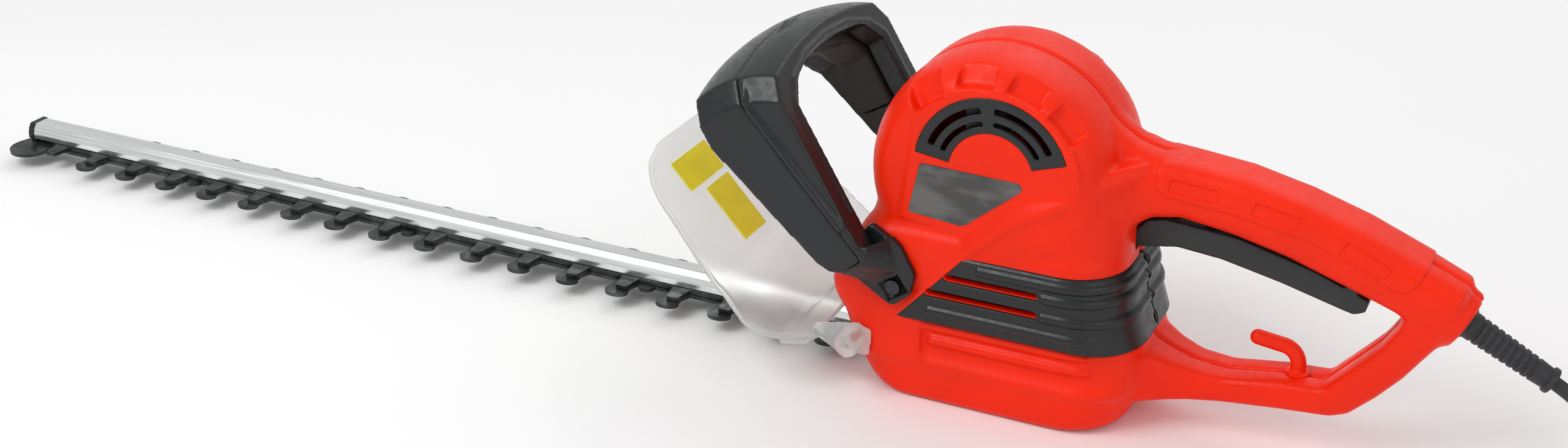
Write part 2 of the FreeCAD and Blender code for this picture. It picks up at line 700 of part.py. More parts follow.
def foot_arm(side):
    """Arm that runs from the foot of the leg inwards and rearwards to the housing."""
    leg_end = [(-45, 86), (-47, 76), (-60, 70), (-61, 82)]
    plate_end = [(-38, 86), (-31, 68), (-43, 57), (-54, 68)]
    wires = []
    for outline, y in ((leg_end, side * (BAIL_HALF - 1)), (plate_end, side * (BODY_HALF + 1))):
        corners = [V(x, y, z) for x, z in outline]
        wires.append(Part.makePolygon(corners + corners[:1]))
    return Part.makeLoft(wires, True, True)


def foot_plate(side):
    """Flange that lies on the housing's side under the fixing screw."""
    outline = [(-50, 91), (-35, 82), (-27, 68), (-29, 58), (-38, 50), (-55, 60), (-62, 72)]
    y0, y1 = sorted((side * BODY_HALF, side * (BODY_HALF + 4)))
    plate = prism_y(outline, y0, y1)
    return rounded(plate, 3.0, lambda e: along(e, Y_AXIS))


FOOT_SCREW = (-38.0, 60.0)


def bail():
    body_shape = bail_body()
    front = body_shape.common(split_slab(True))
    rear = body_shape.common(split_slab(False))
    for side in (-1, 1):
        rear = rear.fuse(foot_plate(side)).fuse(foot_arm(side))
        x, z = FOOT_SCREW
        y0, y1 = sorted((side * 38, side * 70))
        rear = rear.cut(rod(V(x, y0, z), Y_AXIS, y1 - y0, 2.2))
        head_y0, head_y1 = sorted((side * (BODY_HALF + 1.6), side * 70))
        rear = rear.cut(rod(V(x, head_y0, z), Y_AXIS, head_y1 - head_y0, 4.2))
    lever_room = bail_lever_shape(FREE_GAP, travel=LEVER_TRAVEL)
    for room in [lever_room, front_switch(0.2)] + spring_rooms():
        front = front.cut(room)
        rear = rear.cut(room)
    rear = rear.cut(body(0)).cut(front)
    add("bail_front_shell", largest(front.removeSplitter()))
    add("bail_rear_shell", largest(rear.removeSplitter()))
    add("bail_lever", bail_lever_shape(0.0))
    add("bail_lever_springs", lever_springs())
    add("front_switch", front_switch(0.0))
    add("bail_screws", bail_screws())


LEVER_TRAVEL = 4.0
LEVER_FORWARD = (12.0, 30.0)


def bail_lever_shape(grow, travel=0.0):
    """Switch bar along the inside of the arch; squeezing draws it up into the handle."""
    f0, f1 = LEVER_FORWARD[0] - grow, LEVER_FORWARD[1] + grow
    outer = Part.makeLoft([lever_loop(f, 3.4 + grow, 4.5 + grow + travel, grow) for f in (f0, f1)],
                          True, True)
    inner = Part.makeLoft([lever_loop(f, -2.6 - grow, -2.6 - grow, grow, 10) for f in (f0 - 1, f1 + 1)],
                          True, True)
    return outer.cut(inner)


def lever_loop(forward, side_grow, crown_grow, grow, drop=0):
    """Outline of the lever at one depth, from mid-leg over the crown."""
    half = 48.5 + side_grow
    crown = 88.0 + crown_grow
    bottom = 42.0 - grow - drop
    return bail_loop(forward, half, half - 12, (crown - 17, crown - 5), crown, bottom)


LEVER_SPRING_FORWARD = 21.0
LEVER_SPRING_ACROSS = 30.0
LEVER_SPRING_UP = (90.7, 98.0)   # from the lever's back to the end of the pocket in the shells
LEVER_SPRING_RADIUS = 2.2
SPRING_WIRE = 0.35


def lever_springs():
    springs = []
    for side in (-1, 1):
        foot = LEVER_SPRING_UP[0] + SPRING_WIRE
        start = bail_point(LEVER_SPRING_FORWARD, side * LEVER_SPRING_ACROSS, foot)
        length = LEVER_SPRING_UP[1] - SPRING_WIRE - foot
        springs.append(coil_spring(start, UP, length, LEVER_SPRING_RADIUS, SPRING_WIRE, 4))
    return Part.makeCompound(springs)


def spring_rooms():
    """Pockets over the lever that hold its springs."""
    rooms = []
    for side in (-1, 1):
        start = bail_point(LEVER_SPRING_FORWARD, side * LEVER_SPRING_ACROSS, LEVER_SPRING_UP[0])
        rooms.append(rod(start, UP, LEVER_SPRING_UP[1] - LEVER_SPRING_UP[0] + 0.2, LEVER_SPRING_RADIUS + 0.8))
    return rooms


def front_switch(grow):
    """Small switch over the middle of the lever, with its button just above the lever's travel."""
    case = block(-5 - grow, 5 + grow, -9 - grow, 9 + grow, 97.2 - grow, 102.0 + grow)
    button = block(-1.5 - grow, 1.5 + grow, -1.5 - grow, 1.5 + grow, 96.5, 98.0)
    shape = case.fuse(button)
    shape.rotate(V(0, 0, 0), Y_AXIS, -math.degrees(LEAN))
    shape.translate(bail_point(LEVER_SPRING_FORWARD, 0, 0))
    return shape.removeSplitter()


def bail_screws():
    screws = []
    x, z = FOOT_SCREW
    for side in (-1, 1):
        direction = V(0, -side, 0)
        head = V(x, side * (BODY_HALF + 3.9), z)
        shank = rod(head, direction, 12.0, 1.9)
        cap = rod(head, direction, 2.2, 3.6)
        cross = block(x - 2.2, x + 2.2, -80, 80, z - 0.4, z + 0.4)
        cross = cross.fuse(block(x - 0.4, x + 0.4, -80, 80, z - 2.2, z + 2.2))
        slot_depth = block(x - 5, x + 5, *sorted((side * (BODY_HALF + 2.8), side * 70)), z - 5, z + 5)
        screws.append(cap.cut(cross.common(slot_depth)).fuse(shank))
    return Part.makeCompound(screws)


# ---- hand guard --------------------------------------------------------------------------------
GUARD_THICKNESS = 2.2
GUARD_BOSS = (-57.0, 29.0)


def hand_guard():
    """Clear shield in front of the nose: a level apron that turns up into a leaning screen."""
    path = [(-76.5, 25.0), (-90, 26.5), (-100, 30.0), (-110, 38.0), (-122, 50.0), (-170, 102.0)]
    inner = [(-76.5, 25.0 + GUARD_THICKNESS), (-89.5, 26.5 + GUARD_THICKNESS), (-98.8, 32.0),
             (-108.4, 39.8), (-120.4, 51.6), (-168.4, 103.6)]
    sheet = prism_y(path + inner[::-1], -90, 90)
    plan = [(-70, -50), (-82, -60), (-98, -68), (-112, -71), (-150, -66), (-164, -61), (-174, -46),
            (-178, -20), (-178, 20), (-174, 46), (-164, 61), (-150, 66), (-112, 71), (-98, 68),
            (-82, 60), (-70, 50)]
    sheet = sheet.common(prism_z(plan, 0, 150))
    for side in (-1, 1):
        y0, y1 = sorted((side * (BODY_HALF + 0.2), side * (BODY_HALF + 2.4)))
        tab = prism_y([(-79, 24.8), (-66, 18), (-50, 20), (-49, 33), (-56, 36), (-70, 33), (-79, 31)], y0, y1)
        wing = prism_z([(-72.0, side * (BODY_HALF + 0.2)), (-79, side * (BODY_HALF + 0.2)),
                        (-84, side * 58), (-76.5, side * 52)], 25.0, 25.0 + GUARD_THICKNESS)
        boss_y0, boss_y1 = sorted((side * (BODY_HALF + 2.4), side * (BODY_HALF + 14)))
        boss = rod(V(GUARD_BOSS[0], boss_y0, GUARD_BOSS[1]), Y_AXIS, boss_y1 - boss_y0, 6.0)
        sheet = sheet.fuse(tab).fuse(wing).fuse(boss)
        hole_y0, hole_y1 = sorted((side * BODY_HALF, side * 70))
        sheet = sheet.cut(rod(V(GUARD_BOSS[0], hole_y0, GUARD_BOSS[1]), Y_AXIS, hole_y1 - hole_y0, 1.9))
    return largest(sheet.removeSplitter().cut(body(-0.1)))


def guard_screws():
    screws = []
    for side in (-1, 1):
        head_y = side * (BODY_HALF + 11.0)
        direction = V(0, -side, 0)
        shank = rod(V(GUARD_BOSS[0], head_y, GUARD_BOSS[1]), direction, 18.0, 1.7)
        screws.append(shank)
    return Part.makeCompound(screws)


def guard():
    add("hand_guard", hand_guard())
    add("guard_screws", guard_screws())


# ---- gears and crank ---------------------------------------------------------------------------
def involute_outline(teeth, module, addendum, dedendum, backlash):
    """Closed outline of a spur gear with involute flanks, centred on the origin."""
    pressure = math.radians(20)
    pitch = module * teeth / 2
    base = pitch * math.cos(pressure)
    outer = pitch + addendum * module
    root = pitch - dedendum * module
    half_tooth = math.pi / (2 * teeth) - backlash / (2 * pitch)
    at_pitch = math.tan(pressure) - pressure
    points = []
    steps = 4
    start = max(base, root)
    for tooth in range(teeth):
        centre = 2 * math.pi * tooth / teeth
        flank = []
        for step in range(steps + 1):
            radius = start + (outer - start) * step / steps
            angle = math.acos(min(1.0, base / radius))
            spread = half_tooth + at_pitch - (math.tan(angle) - angle)
            flank.append((radius, spread))
        points.append((root, centre - flank[0][1]))
        points += [(radius, centre - spread) for radius, spread in flank]
        points += [(radius, centre + spread) for radius, spread in reversed(flank)]
        points.append((root, centre + flank[0][1]))
    outline = []
    for radius, angle in points:
        point = (radius * math.cos(angle), radius * math.sin(angle))
        if not outline or math.dist(point, outline[-1]) > 1e-4:
            outline.append(point)
    return outline


def gear_solid(teeth, x, z0, z1, turn, backlash=0.12):
    shape = prism_z(involute_outline(teeth, GEAR_MODULE, 0.9, 1.25, backlash), z0, z1)
    shape.rotate(V(0, 0, 0), Z_AXIS, turn)
    shape.translate(V(x, 0, 0))
    return shape


CRANK_SHAFT_RADIUS = 5.0
CRANK_DISC_TOP = 19.0
CRANK_DISC_HEIGHT = 4.0


def drive_gear():
    """Spur gear with a web and a hub; its first gap faces the pinion's first tooth."""
    turn = 180.0 / GEAR_TEETH
    gear = gear_solid(GEAR_TEETH, GEAR_X, GEAR_Z, GEAR_Z + GEAR_FACE, turn)
    recess = tube(V(GEAR_X, 0, GEAR_Z + GEAR_FACE - 2), Z_AXIS, 3, 18.5, 9.0)
    gear = gear.cut(recess)
    for i in range(6):
        angle = math.radians(60 * i + 30)
        hole = V(GEAR_X + 13.5 * math.cos(angle), 13.5 * math.sin(angle), GEAR_Z - 1)
        gear = gear.cut(rod(hole, Z_AXIS, GEAR_FACE + 2, 2.6))
    return gear.cut(rod(V(GEAR_X, 0, GEAR_Z - 1), Z_AXIS, GEAR_FACE + 2, CRANK_SHAFT_RADIUS))


def crank_shaft():
    """Shaft of the drive gear with the crank disc and pin at its lower end."""
    pin_z = COMB_TOP_Z + SLIDE_GAP + BLADE_THICKNESS + PIN_GAP
    shaft = rod(V(GEAR_X, 0, CRANK_DISC_TOP - 1), Z_AXIS, 24.5, CRANK_SHAFT_RADIUS)
    disc = rod(V(GEAR_X, 0, CRANK_DISC_TOP - CRANK_DISC_HEIGHT), Z_AXIS, CRANK_DISC_HEIGHT, 13.0)
    pin = rod(V(GEAR_X + CRANK_THROW, 0, pin_z), Z_AXIS, CRANK_DISC_TOP - 3.5 - pin_z, PIN_RADIUS)
    return join(shaft, disc, pin)


def ball_bearing(x, z0, inner, outer, height):
    """Deep-groove bearing as its two races and its balls, each a separate solid."""
    race = (outer - inner) * 0.28
    middle = (inner + outer) / 2
    ball = (outer - inner) * 0.20
    inner_race = tube(V(x, 0, z0), Z_AXIS, height, inner + race, inner)
    outer_race = tube(V(x, 0, z0), Z_AXIS, height, outer, outer - race)
    count = 8
    balls = []
    for i in range(count):
        angle = 2 * math.pi * i / count
        centre = V(x + middle * math.cos(angle), middle * math.sin(angle), z0 + height / 2)
        balls.append(Part.makeSphere(ball, centre))
    return Part.makeCompound([inner_race, outer_race] + balls)


CASE_TOP = 46.0
CASE_WALL_RADIUS = 28.0
CASE_INNER_RADIUS = 25.4
BEARING_OUTER = 11.0


def gear_case():
    """Cast case over the gears, with seats for the crank shaft's and the motor's lower bearings."""
    plate_z = 42.0
    floor = rod(V(GEAR_X, 0, plate_z), Z_AXIS, CASE_TOP - plate_z, CASE_WALL_RADIUS)
    floor = floor.fuse(block(GEAR_X, 6, -22, 22, plate_z, CASE_TOP)).fuse(
        rod(V(4, 0, plate_z), Z_AXIS, CASE_TOP - plate_z, 22))
    wall = rod(V(GEAR_X, 0, 21.0), Z_AXIS, plate_z - 21.0, CASE_WALL_RADIUS)
    wall = wall.fuse(rod(V(0, 0, 21.0), Z_AXIS, plate_z - 21.0, 14.0))
    hollow = rod(V(GEAR_X, 0, 20), Z_AXIS, plate_z - 20, CASE_INNER_RADIUS)
    hollow = hollow.fuse(rod(V(0, 0, 20), Z_AXIS, plate_z - 20, 11.0))
    case = floor.fuse(wall.cut(hollow))
    crank_seat = rod(V(GEAR_X, 0, 34.0), Z_AXIS, 8.0, BEARING_OUTER + 3)
    motor_seat = rod(V(0, 0, CASE_TOP), Z_AXIS, 4.0, BEARING_OUTER + 3)
    case = case.fuse(crank_seat).fuse(motor_seat)
    case = case.cut(rod(V(GEAR_X, 0, 33.0), Z_AXIS, 8.0, BEARING_OUTER))
    case = case.cut(rod(V(GEAR_X, 0, 33.0), Z_AXIS, 11.0, CRANK_SHAFT_RADIUS + 1.5))
    case = case.cut(rod(V(0, 0, 43.0), Z_AXIS, 8.0, BEARING_OUTER))
    case = case.cut(rod(V(0, 0, 40.0), Z_AXIS, 8.0, 7.0))
    foot_top = 24.0
    bar_top = COMB_TOP_Z + 2 * SLIDE_GAP + BLADE_THICKNESS + BAR_HEIGHT
    foot = block(-58, GEAR_X - CASE_INNER_RADIUS + 0.5, -9, 9, bar_top, foot_top)
    foot = foot.cut(hollow)
    feet = [block(8, 26, side * 16 - 5, side * 16 + 5, WALL, CASE_TOP) for side in (-1, 1)]
    case = case.fuse(foot)
    for leg in feet:
        case = case.fuse(leg)
    return case.removeSplitter()


def gear_train():
    add("gear_case", gear_case())
    add("drive_gear", drive_gear())
    add("crank_shaft", crank_shaft())
    add("crank_bearing", ball_bearing(GEAR_X, 34.0, CRANK_SHAFT_RADIUS + RUN_FIT, BEARING_OUTER, 7.0))


# ---- motor -------------------------------------------------------------------------------------
MOTOR_SHAFT_RADIUS = 4.0
PINION_BORE = 2.6
PINION_SEAT_TOP = 35.0
STACK_Z = (72.0, 108.0)
ARMATURE_RADIUS = 15.5


def armature_shaft():
    """Motor shaft, stepped down at its lower end for the pinion."""
    shaft = rod(V(0, 0, PINION_SEAT_TOP), Z_AXIS, 154.0 - PINION_SEAT_TOP, MOTOR_SHAFT_RADIUS)
    return shaft.fuse(rod(V(0, 0, 22.0), Z_AXIS, PINION_SEAT_TOP - 22.0, PINION_BORE)).removeSplitter()


def bored(shape, radius=MOTOR_SHAFT_RADIUS):
    """Cut the motor shaft's bore through a part that is pressed on it."""
    return shape.cut(rod(V(0, 0, 0), Z_AXIS, 200, radius))


def armature_core():
    core = rod(V(0, 0, STACK_Z[0]), Z_AXIS, STACK_Z[1] - STACK_Z[0], ARMATURE_RADIUS)
    slots = 12
    for i in range(slots):
        angle = 360.0 / slots * i
        slot = block(9.0, 17.0, -0.9, 0.9, STACK_Z[0] - 1, STACK_Z[1] + 1)
        slot = slot.fuse(rod(V(11.0, 0, STACK_Z[0] - 1), Z_AXIS, STACK_Z[1] - STACK_Z[0] + 2, 1.9))
        slot.rotate(V(0, 0, 0), Z_AXIS, angle)
        core = core.cut(slot)
    return bored(core)


def armature_windings():
    ends = []
    for z0, height in ((STACK_Z[0] - 7.0, 7.0), (STACK_Z[1], 7.0)):
        head = tube(V(0, 0, z0), Z_AXIS, height, 13.5, MOTOR_SHAFT_RADIUS + 1.0)
        ends.append(rounded(head, 2.0, lambda e: e.Curve.TypeId == "Part::GeomCircle"
                            and e.Curve.Radius > 10))
    return Part.makeCompound(ends)


def commutator():
    drum = rod(V(0, 0, 118.0), Z_AXIS, 14.0, 9.5)
    bars = 16
    for i in range(bars):
        groove = block(8.6, 10.5, -0.25, 0.25, 117, 133)
        groove.rotate(V(0, 0, 0), Z_AXIS, 360.0 / bars * i)
        drum = drum.cut(groove)
    return bored(drum)


def fan():
    """Radial fan just above the gear case, which blows out through the side slots."""
    hub = tube(V(0, 0, 53.0), Z_AXIS, 10.0, 8.0, MOTOR_SHAFT_RADIUS)
    disc = tube(V(0, 0, 53.0), Z_AXIS, 1.6, 29.0, 7.5)
    blades = []
    count = 11
    for i in range(count):
        blade = block(10.0, 28.4, -0.8, 0.8, 54.4, 63.0)
        blade.rotate(V(10, 0, 0), Z_AXIS, 22)
        blade.rotate(V(0, 0, 0), Z_AXIS, 360.0 / count * i)
        blades.append(blade)
    wheel = hub.fuse(disc).multiFuse(blades)
    return wheel.common(rod(V(0, 0, 50), Z_AXIS, 20, 29.0)).removeSplitter()


def pinion():
    """Small gear on the shaft's lower end; a tooth points at the drive gear."""
    shape = gear_solid(PINION_TEETH, 0.0, GEAR_Z - 1.0, GEAR_Z + GEAR_FACE + 1.5, 180.0)
    return bored(shape, PINION_BORE)


def stator_core():
    """Laminated stator with two pole shoes round the armature."""
    height = STACK_Z[1] - STACK_Z[0]
    core = rod(V(0, 0, STACK_Z[0]), Z_AXIS, height, STATOR_RADIUS)
    core = core.common(block(-26, 26, -30, 30, STACK_Z[0], STACK_Z[1]))
    core = core.cut(rod(V(0, 0, STACK_Z[0]), Z_AXIS, height, ARMATURE_RADIUS + 0.5))
    for side in (-1, 1):
        window = block(*sorted((side * 9.0, side * 22.0)), -11.5, 11.5, STACK_Z[0], STACK_Z[1])
        core = core.cut(window)
    return largest(core)


def field_coils():
    """Two coils that lie in the stator's windows and stand out at both ends."""
    coils = []
    for side in (-1, 1):
        for end in (STACK_Z[0] - 5.0, STACK_Z[1]):
            y0, y1 = sorted((side * 17.0, side * 25.5))
            bundle = block(-18, 18, y0, y1, end, end + 5.0)
            coils.append(rounded(bundle, 1.8, lambda e: along(e, X_AXIS)))
        x0, x1 = sorted((side * 17.0, side * 21.5))
        coils.append(block(x0, x1, -11, 11, STACK_Z[0], STACK_Z[1]))
    return Part.makeCompound(coils)


def brush_holders():
    holders = []
    for side in (-1, 1):
        y0, y1 = sorted((side * 11.2, side * 33.0))
        holder = block(-4.6, 4.6, y0, y1, 120.5, 129.5)
        inner = block(-3.0, 3.0, y0 - 1, y1 + 1, 122.0, 128.0)
        holders.append(holder.cut(inner))
    return Part.makeCompound(holders)


def carbon_brushes():
    brushes = []
    for side in (-1, 1):
        y0, y1 = sorted((side * 9.9, side * 22.0))
        brushes.append(block(-2.9, 2.9, y0, y1, 122.1, 127.9))
    return Part.makeCompound(brushes)


def brush_springs():
    springs = []
    for side in (-1, 1):
        springs.append(coil_spring(V(0, side * 22.2, 125.0), V(0, side, 0), 10.5, 2.2, 0.35, 5))
    return Part.makeCompound(springs)


def coil_spring(start, direction, length, radius, wire, turns):
    """Compression spring as a swept helix."""
    helix = Part.makeHelix(length / turns, length, radius)
    profile = Part.Wire(Part.Circle(V(radius, 0, 0), Y_AXIS, wire).toShape())
    spring = Part.Wire(helix).makePipeShell([profile], True, True)
    rotation = FreeCAD.Rotation(Z_AXIS, direction)
    spring.Placement = FreeCAD.Placement(start, rotation)
    return spring


BRIDGE_Z = 140.0


def bearing_bridge():
    """Moulded bridge that holds the motor's upper bearing between the shell's side walls."""
    bar = block(-9, 9, -NECK_HALF + WALL, NECK_HALF - WALL, BRIDGE_Z, BRIDGE_Z + 12)
    bar = bar.common(body(WALL))
    grille_back = vent_sector(GRILLE_INNER + 1.6, GRILLE_OUTER, NECK_HALF - 3.5, NECK_HALF, GRILLE_ANGLE)
    bar = bar.cut(grille_back).cut(mirrored(grille_back))
    cup = rod(V(0, 0, BRIDGE_Z), Z_AXIS, 12, 13.5)
    bridge = bar.fuse(cup)
    bridge = bridge.cut(rod(V(0, 0, BRIDGE_Z - 1), Z_AXIS, 9, 9.5))
    return bridge.cut(rod(V(0, 0, BRIDGE_Z), Z_AXIS, 12.0, 5.5)).removeSplitter()


def motor():
    add("armature_shaft", armature_shaft())
    add("armature_core", armature_core())
    add("armature_windings", armature_windings())
    add("commutator", commutator())
    add("cooling_fan", fan())
    add("pinion", pinion())
    add("stator_core", stator_core())
    add("field_coils", field_coils())
    add("brush_holders", brush_holders())
    add("carbon_brushes", carbon_brushes())
    add("brush_springs", brush_springs())
    add("lower_motor_bearing", ball_bearing(0.0, 43.0, MOTOR_SHAFT_RADIUS + RUN_FIT, BEARING_OUTER, 7.0))
    add("upper_motor_bearing", ball_bearing(0.0, BRIDGE_Z, MOTOR_SHAFT_RADIUS + RUN_FIT, 9.5, 7.0))
    add("bearing_bridge", bearing_bridge())


# ---- trigger, switch, cord entry ---------------------------------------------------------------
TRIGGER_PIVOT = (163.0, 86.5)
TRIGGER_PIN_RADIUS = 2.0
SPRING_FOOT_Z = 96.0


def trigger():
    shape = slab(TRIGGER_OUTLINE, 0, 7.8)
    shape = rounded(shape, 2.5, lambda e: edge_on_line(e, [TRIGGER_OUTLINE[i] for i in (9, 10, 11, 12)]))
    x, z = TRIGGER_PIVOT
    ear = rod(V(x, -4, z), Y_AXIS, 8, 5.0)
    shape = shape.fuse(ear)
    shape = shape.cut(rod(V(x, -20, z), Y_AXIS, 40, TRIGGER_PIN_RADIUS + RUN_FIT))
    finger = block(96, 100, -3, 3, 98, 106.5)
    spring_cup = rod(V(TRIGGER_SPRING_X, 0, SPRING_FOOT_Z), Z_AXIS, 10, 3.0)
    return shape.fuse(finger).cut(spring_cup).removeSplitter()


def rear_switch():
    body_shape = block(94, 120, -7, 7, 112.6, 122.0)
    button = block(96, 100, -2.5, 2.5, 111.6, 113.0)
    return join(body_shape, button)


def capacitor():
    return rounded(block(126, 142, -6, 6, 107.5, 114.5), 1.5, lambda e: True)


def trigger_pin():
    x, z = TRIGGER_PIVOT
    half = GRIP_HALF - 1.0
    return rod(V(x, -half, z), Y_AXIS, 2 * half, TRIGGER_PIN_RADIUS)


def trigger_parts():
    length = SPRING_TOP_Z - SPRING_FOOT_Z - 2 * SPRING_WIRE
    add("trigger", trigger())
    add("trigger_pin", trigger_pin())
    add("trigger_spring", coil_spring(V(TRIGGER_SPRING_X, 0, SPRING_FOOT_Z + SPRING_WIRE), Z_AXIS,
                                      length, 2.1, SPRING_WIRE, 8))
    add("rear_switch", rear_switch())
    add("capacitor", capacitor())


def strain_relief():
    """Long tapered rubber sleeve with a rim at its end."""
    start = GLAND_CENTRE + GLAND_DIRECTION * -4
    direction = V(GLAND_DIRECTION)
    direction.normalize()
    length = (V(*CORD_EXIT) - start).Length
    sleeve = cone(start, direction, length, 6.8, 4.9)
    neck = rod(start, direction, 6.0, 7.3)
    rim = rod(start + direction * (length - 2.2), direction, 2.2, 6.1)
    bore = rod(start - direction, direction, length + 2, CORD_DIAMETER / 2)
    return join(sleeve, neck, rim).cut(bore)


def cord_clamp():
    """Saddle on the shelf in the grip's end that takes the pull off the leads."""
    saddle = block(178, 192, -8, 8, CLAMP_Z, CLAMP_Z + 6)
    return saddle.cut(rod(V(170, 0, CLAMP_Z + 6), X_AXIS, 30, CORD_DIAMETER / 2))


CORD_ROUTE = [CORD_EXIT, (268.5, 0.0, 48.8), (287.0, -3.0, 27.0), (306.0, -8.0, 6.2), (342.0, -15.0, 3.4),
              (384.0, -14.0, 3.3), (418.0, 4.0, 3.3), (431.0, 38.0, 3.3), (416.0, 72.0, 3.3),
              (382.0, 89.0, 3.3), (345.0, 88.0, 5.2)]


def cord_wire(points):
    """Straight runs joined by tangent arcs, as large as the runs allow."""
    corners = [V(*point) for point in points]
    edges = []
    last = corners[0]
    radii = []
    for before, corner, after in zip(corners, corners[1:], corners[2:]):
        incoming = (corner - before).normalize()
        outgoing = (after - corner).normalize()
        turn = incoming.getAngle(outgoing)
        reach = 0.45 * min((corner - before).Length, (after - corner).Length)
        radii.append(reach / math.tan(turn / 2))
        begin = corner - incoming * reach
        finish = corner + outgoing * reach
        toward = (outgoing - incoming).normalize()
        sagitta = radii[-1] * (1 / math.cos(turn / 2) - 1)
        edges.append(Part.LineSegment(last, begin).toShape())
        edges.append(Part.Arc(begin, corner + toward * sagitta, finish).toShape())
        last = finish
    edges.append(Part.LineSegment(last, corners[-1]).toShape())
    return Part.Wire(edges), radii


def mains_cord():
    wire, radii = cord_wire(CORD_ROUTE)
    start = V(*CORD_ROUTE[0])
    direction = (V(*CORD_ROUTE[1]) - start).normalize()
    profile = Part.Wire(Part.Circle(start, direction, CORD_DIAMETER / 2).toShape())
    solid = wire.makePipeShell([profile], True, False)
    expected = math.pi * (CORD_DIAMETER / 2) ** 2 * wire.Length
    print("cord length %.1f mm, volume ratio %.4f" % (wire.Length, solid.Volume / expected))
    print("cord radii", [round(radius, 1) for radius in radii])
    return solid


def plug():
    """Moulded two-pin plug lying on its side at the end of the cord."""
    x0, y0, z0 = CORD_ROUTE[-1]
    sleeve = rod(V(x0 - 1, y0, z0), V(-1, 0, 0), 14, 4.9)
    body_shape = block(x0 - 38, x0 - 13, y0 - 10, y0 + 10, 0.2, 13.6)
    body_shape = rounded(body_shape, 4.0, lambda e: along(e, X_AXIS))
    collar = block(x0 - 42, x0 - 38, y0 - 13, y0 + 13, 0.2, 14.6)
    collar = rounded(collar, 5.0, lambda e: along(e, X_AXIS))
    shape = join(sleeve, body_shape, collar)
    return shape.cut(rod(V(x0 + 1, y0, z0), V(-1, 0, 0), 10, CORD_DIAMETER / 2))


def plug_pins():
    x0, y0, _ = CORD_ROUTE[-1]
    pins = []
    for side in (-1, 1):
        start = V(x0 - 42, y0 + side * 9.5, 7.2)
        pin = rod(start + V(4, 0, 0), V(-1, 0, 0), 22.0, 2.0)
        pins.append(pin.fuse(Part.makeSphere(2.0, start + V(-18, 0, 0))))
    return Part.makeCompound(pins)


def cord_parts():
    add("strain_relief", strain_relief())
    add("cord_clamp", cord_clamp())
    add("mains_cord", mains_cord())
    body_shape = plug()
    pins = plug_pins()
    add("plug_body", body_shape.cut(pins))
    add("plug_pins", pins)


# ---- assemble and write ------------------------------------------------------------------------
def build():
    blade_assembly()
    housing()
    housing_trim()
    bail()
    guard()
    gear_train()
    motor()
    trigger_parts()
    cord_parts()


def clean(shape):
    """Keep only solids, so that each file holds closed pieces."""
    solids = shape.Solids
    return solids[0] if len(solids) == 1 else Part.makeCompound(solids)


def write():
    for name, shape in nodes.items():
        shape = clean(shape)
        box = shape.BoundBox
        print("%-22s solids %2d valid %s vol %9.1f  x %.1f..%.1f y %.1f..%.1f z %.1f..%.1f" % (
            name, len(shape.Solids), shape.isValid(), shape.Volume,
            box.XMin, box.XMax, box.YMin, box.YMax, box.ZMin, box.ZMax))
        shape.exportStep("parts/" + name + ".step")


build()
write()
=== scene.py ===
"""Hedge trimmer: finished shells, guard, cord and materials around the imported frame.

The axes are the row frame's: +X towards the rear handle, -Y the machine's left side, +Z up. The sizes
of meshes are written in millimetres, and mesh_object turns them into metres.
"""
import json
import math

import bmesh
import bpy
from mathutils import Matrix, Vector


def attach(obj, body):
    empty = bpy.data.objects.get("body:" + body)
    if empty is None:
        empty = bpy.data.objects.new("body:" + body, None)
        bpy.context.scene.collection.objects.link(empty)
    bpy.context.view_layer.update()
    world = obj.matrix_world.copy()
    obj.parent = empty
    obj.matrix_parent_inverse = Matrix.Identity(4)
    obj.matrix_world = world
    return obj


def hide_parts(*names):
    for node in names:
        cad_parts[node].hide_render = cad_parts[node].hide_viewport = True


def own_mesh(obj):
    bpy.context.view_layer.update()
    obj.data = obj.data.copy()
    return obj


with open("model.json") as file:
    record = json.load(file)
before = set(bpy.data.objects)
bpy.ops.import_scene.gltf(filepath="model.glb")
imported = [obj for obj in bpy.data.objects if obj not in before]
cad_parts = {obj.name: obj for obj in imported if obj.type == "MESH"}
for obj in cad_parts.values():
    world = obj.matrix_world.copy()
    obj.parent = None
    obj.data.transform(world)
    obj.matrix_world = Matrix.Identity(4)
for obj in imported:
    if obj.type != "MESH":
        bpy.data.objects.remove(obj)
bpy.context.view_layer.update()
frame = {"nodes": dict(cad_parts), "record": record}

MM = 0.001
ROOT = "housing"
NODES = frame["nodes"]

# ---- sizes that the pieces share, in millimetres -----------------------------------------------
BODY_HALF = 42.0
BODY_REAR = 77.0
BODY_CORNER = 27.0
NOSE_CORNER = 17.0
SIDE_END = 47.0
DOME_CENTRE = (0.0, 114.0)
GRILLE_CENTRE = (5.0, 122.5)
DISC_RADIUS = 42.0
DISC_FACE = -38.9
GRILLE_INNER = 20.2
GRILLE_OUTER = 37.0
GRILLE_ANGLE = 77.0
GRILLE_TILT = 5.0
PANEL_DEPTH = 3.6
RIB_HEIGHT = 1.7
RIB_HALF = 2.3
COVER_LIFT = 1.5
COVER_THICKNESS = 3.0
AIR_SLOT_STARTS = ((-12, 69.5), (-21, 60.0))
AIR_SLOT_END = 30
LIMB_VOXEL = 1.3
SHELL_VOXEL = 0.9
GUARD_VOXEL = 0.8
TRIGGER_VOXEL = 0.7
SMALL_VOXEL = 0.6
SADDLE_VOXEL = 0.5
GRILLE_VOXEL = 0.45
CUTTER_REACH = 60

# the front handle's arch leans; its own axes run up the arch and out of its front face
LEAN = math.radians(31.0)
UP = Vector((-math.sin(LEAN), 0, math.cos(LEAN)))
FORWARD = Vector((-math.cos(LEAN), 0, -math.sin(LEAN)))
ARCH_FOOT = Vector((-47, 0, 82))

# the cord's collar at the rear: where it starts, and its directions
GLAND_START = Vector((199, 0, 85))
GLAND_ALONG = Vector((0.89, 0, -0.456))
GLAND_SIDE = Vector((0.456, 0, 0.89))

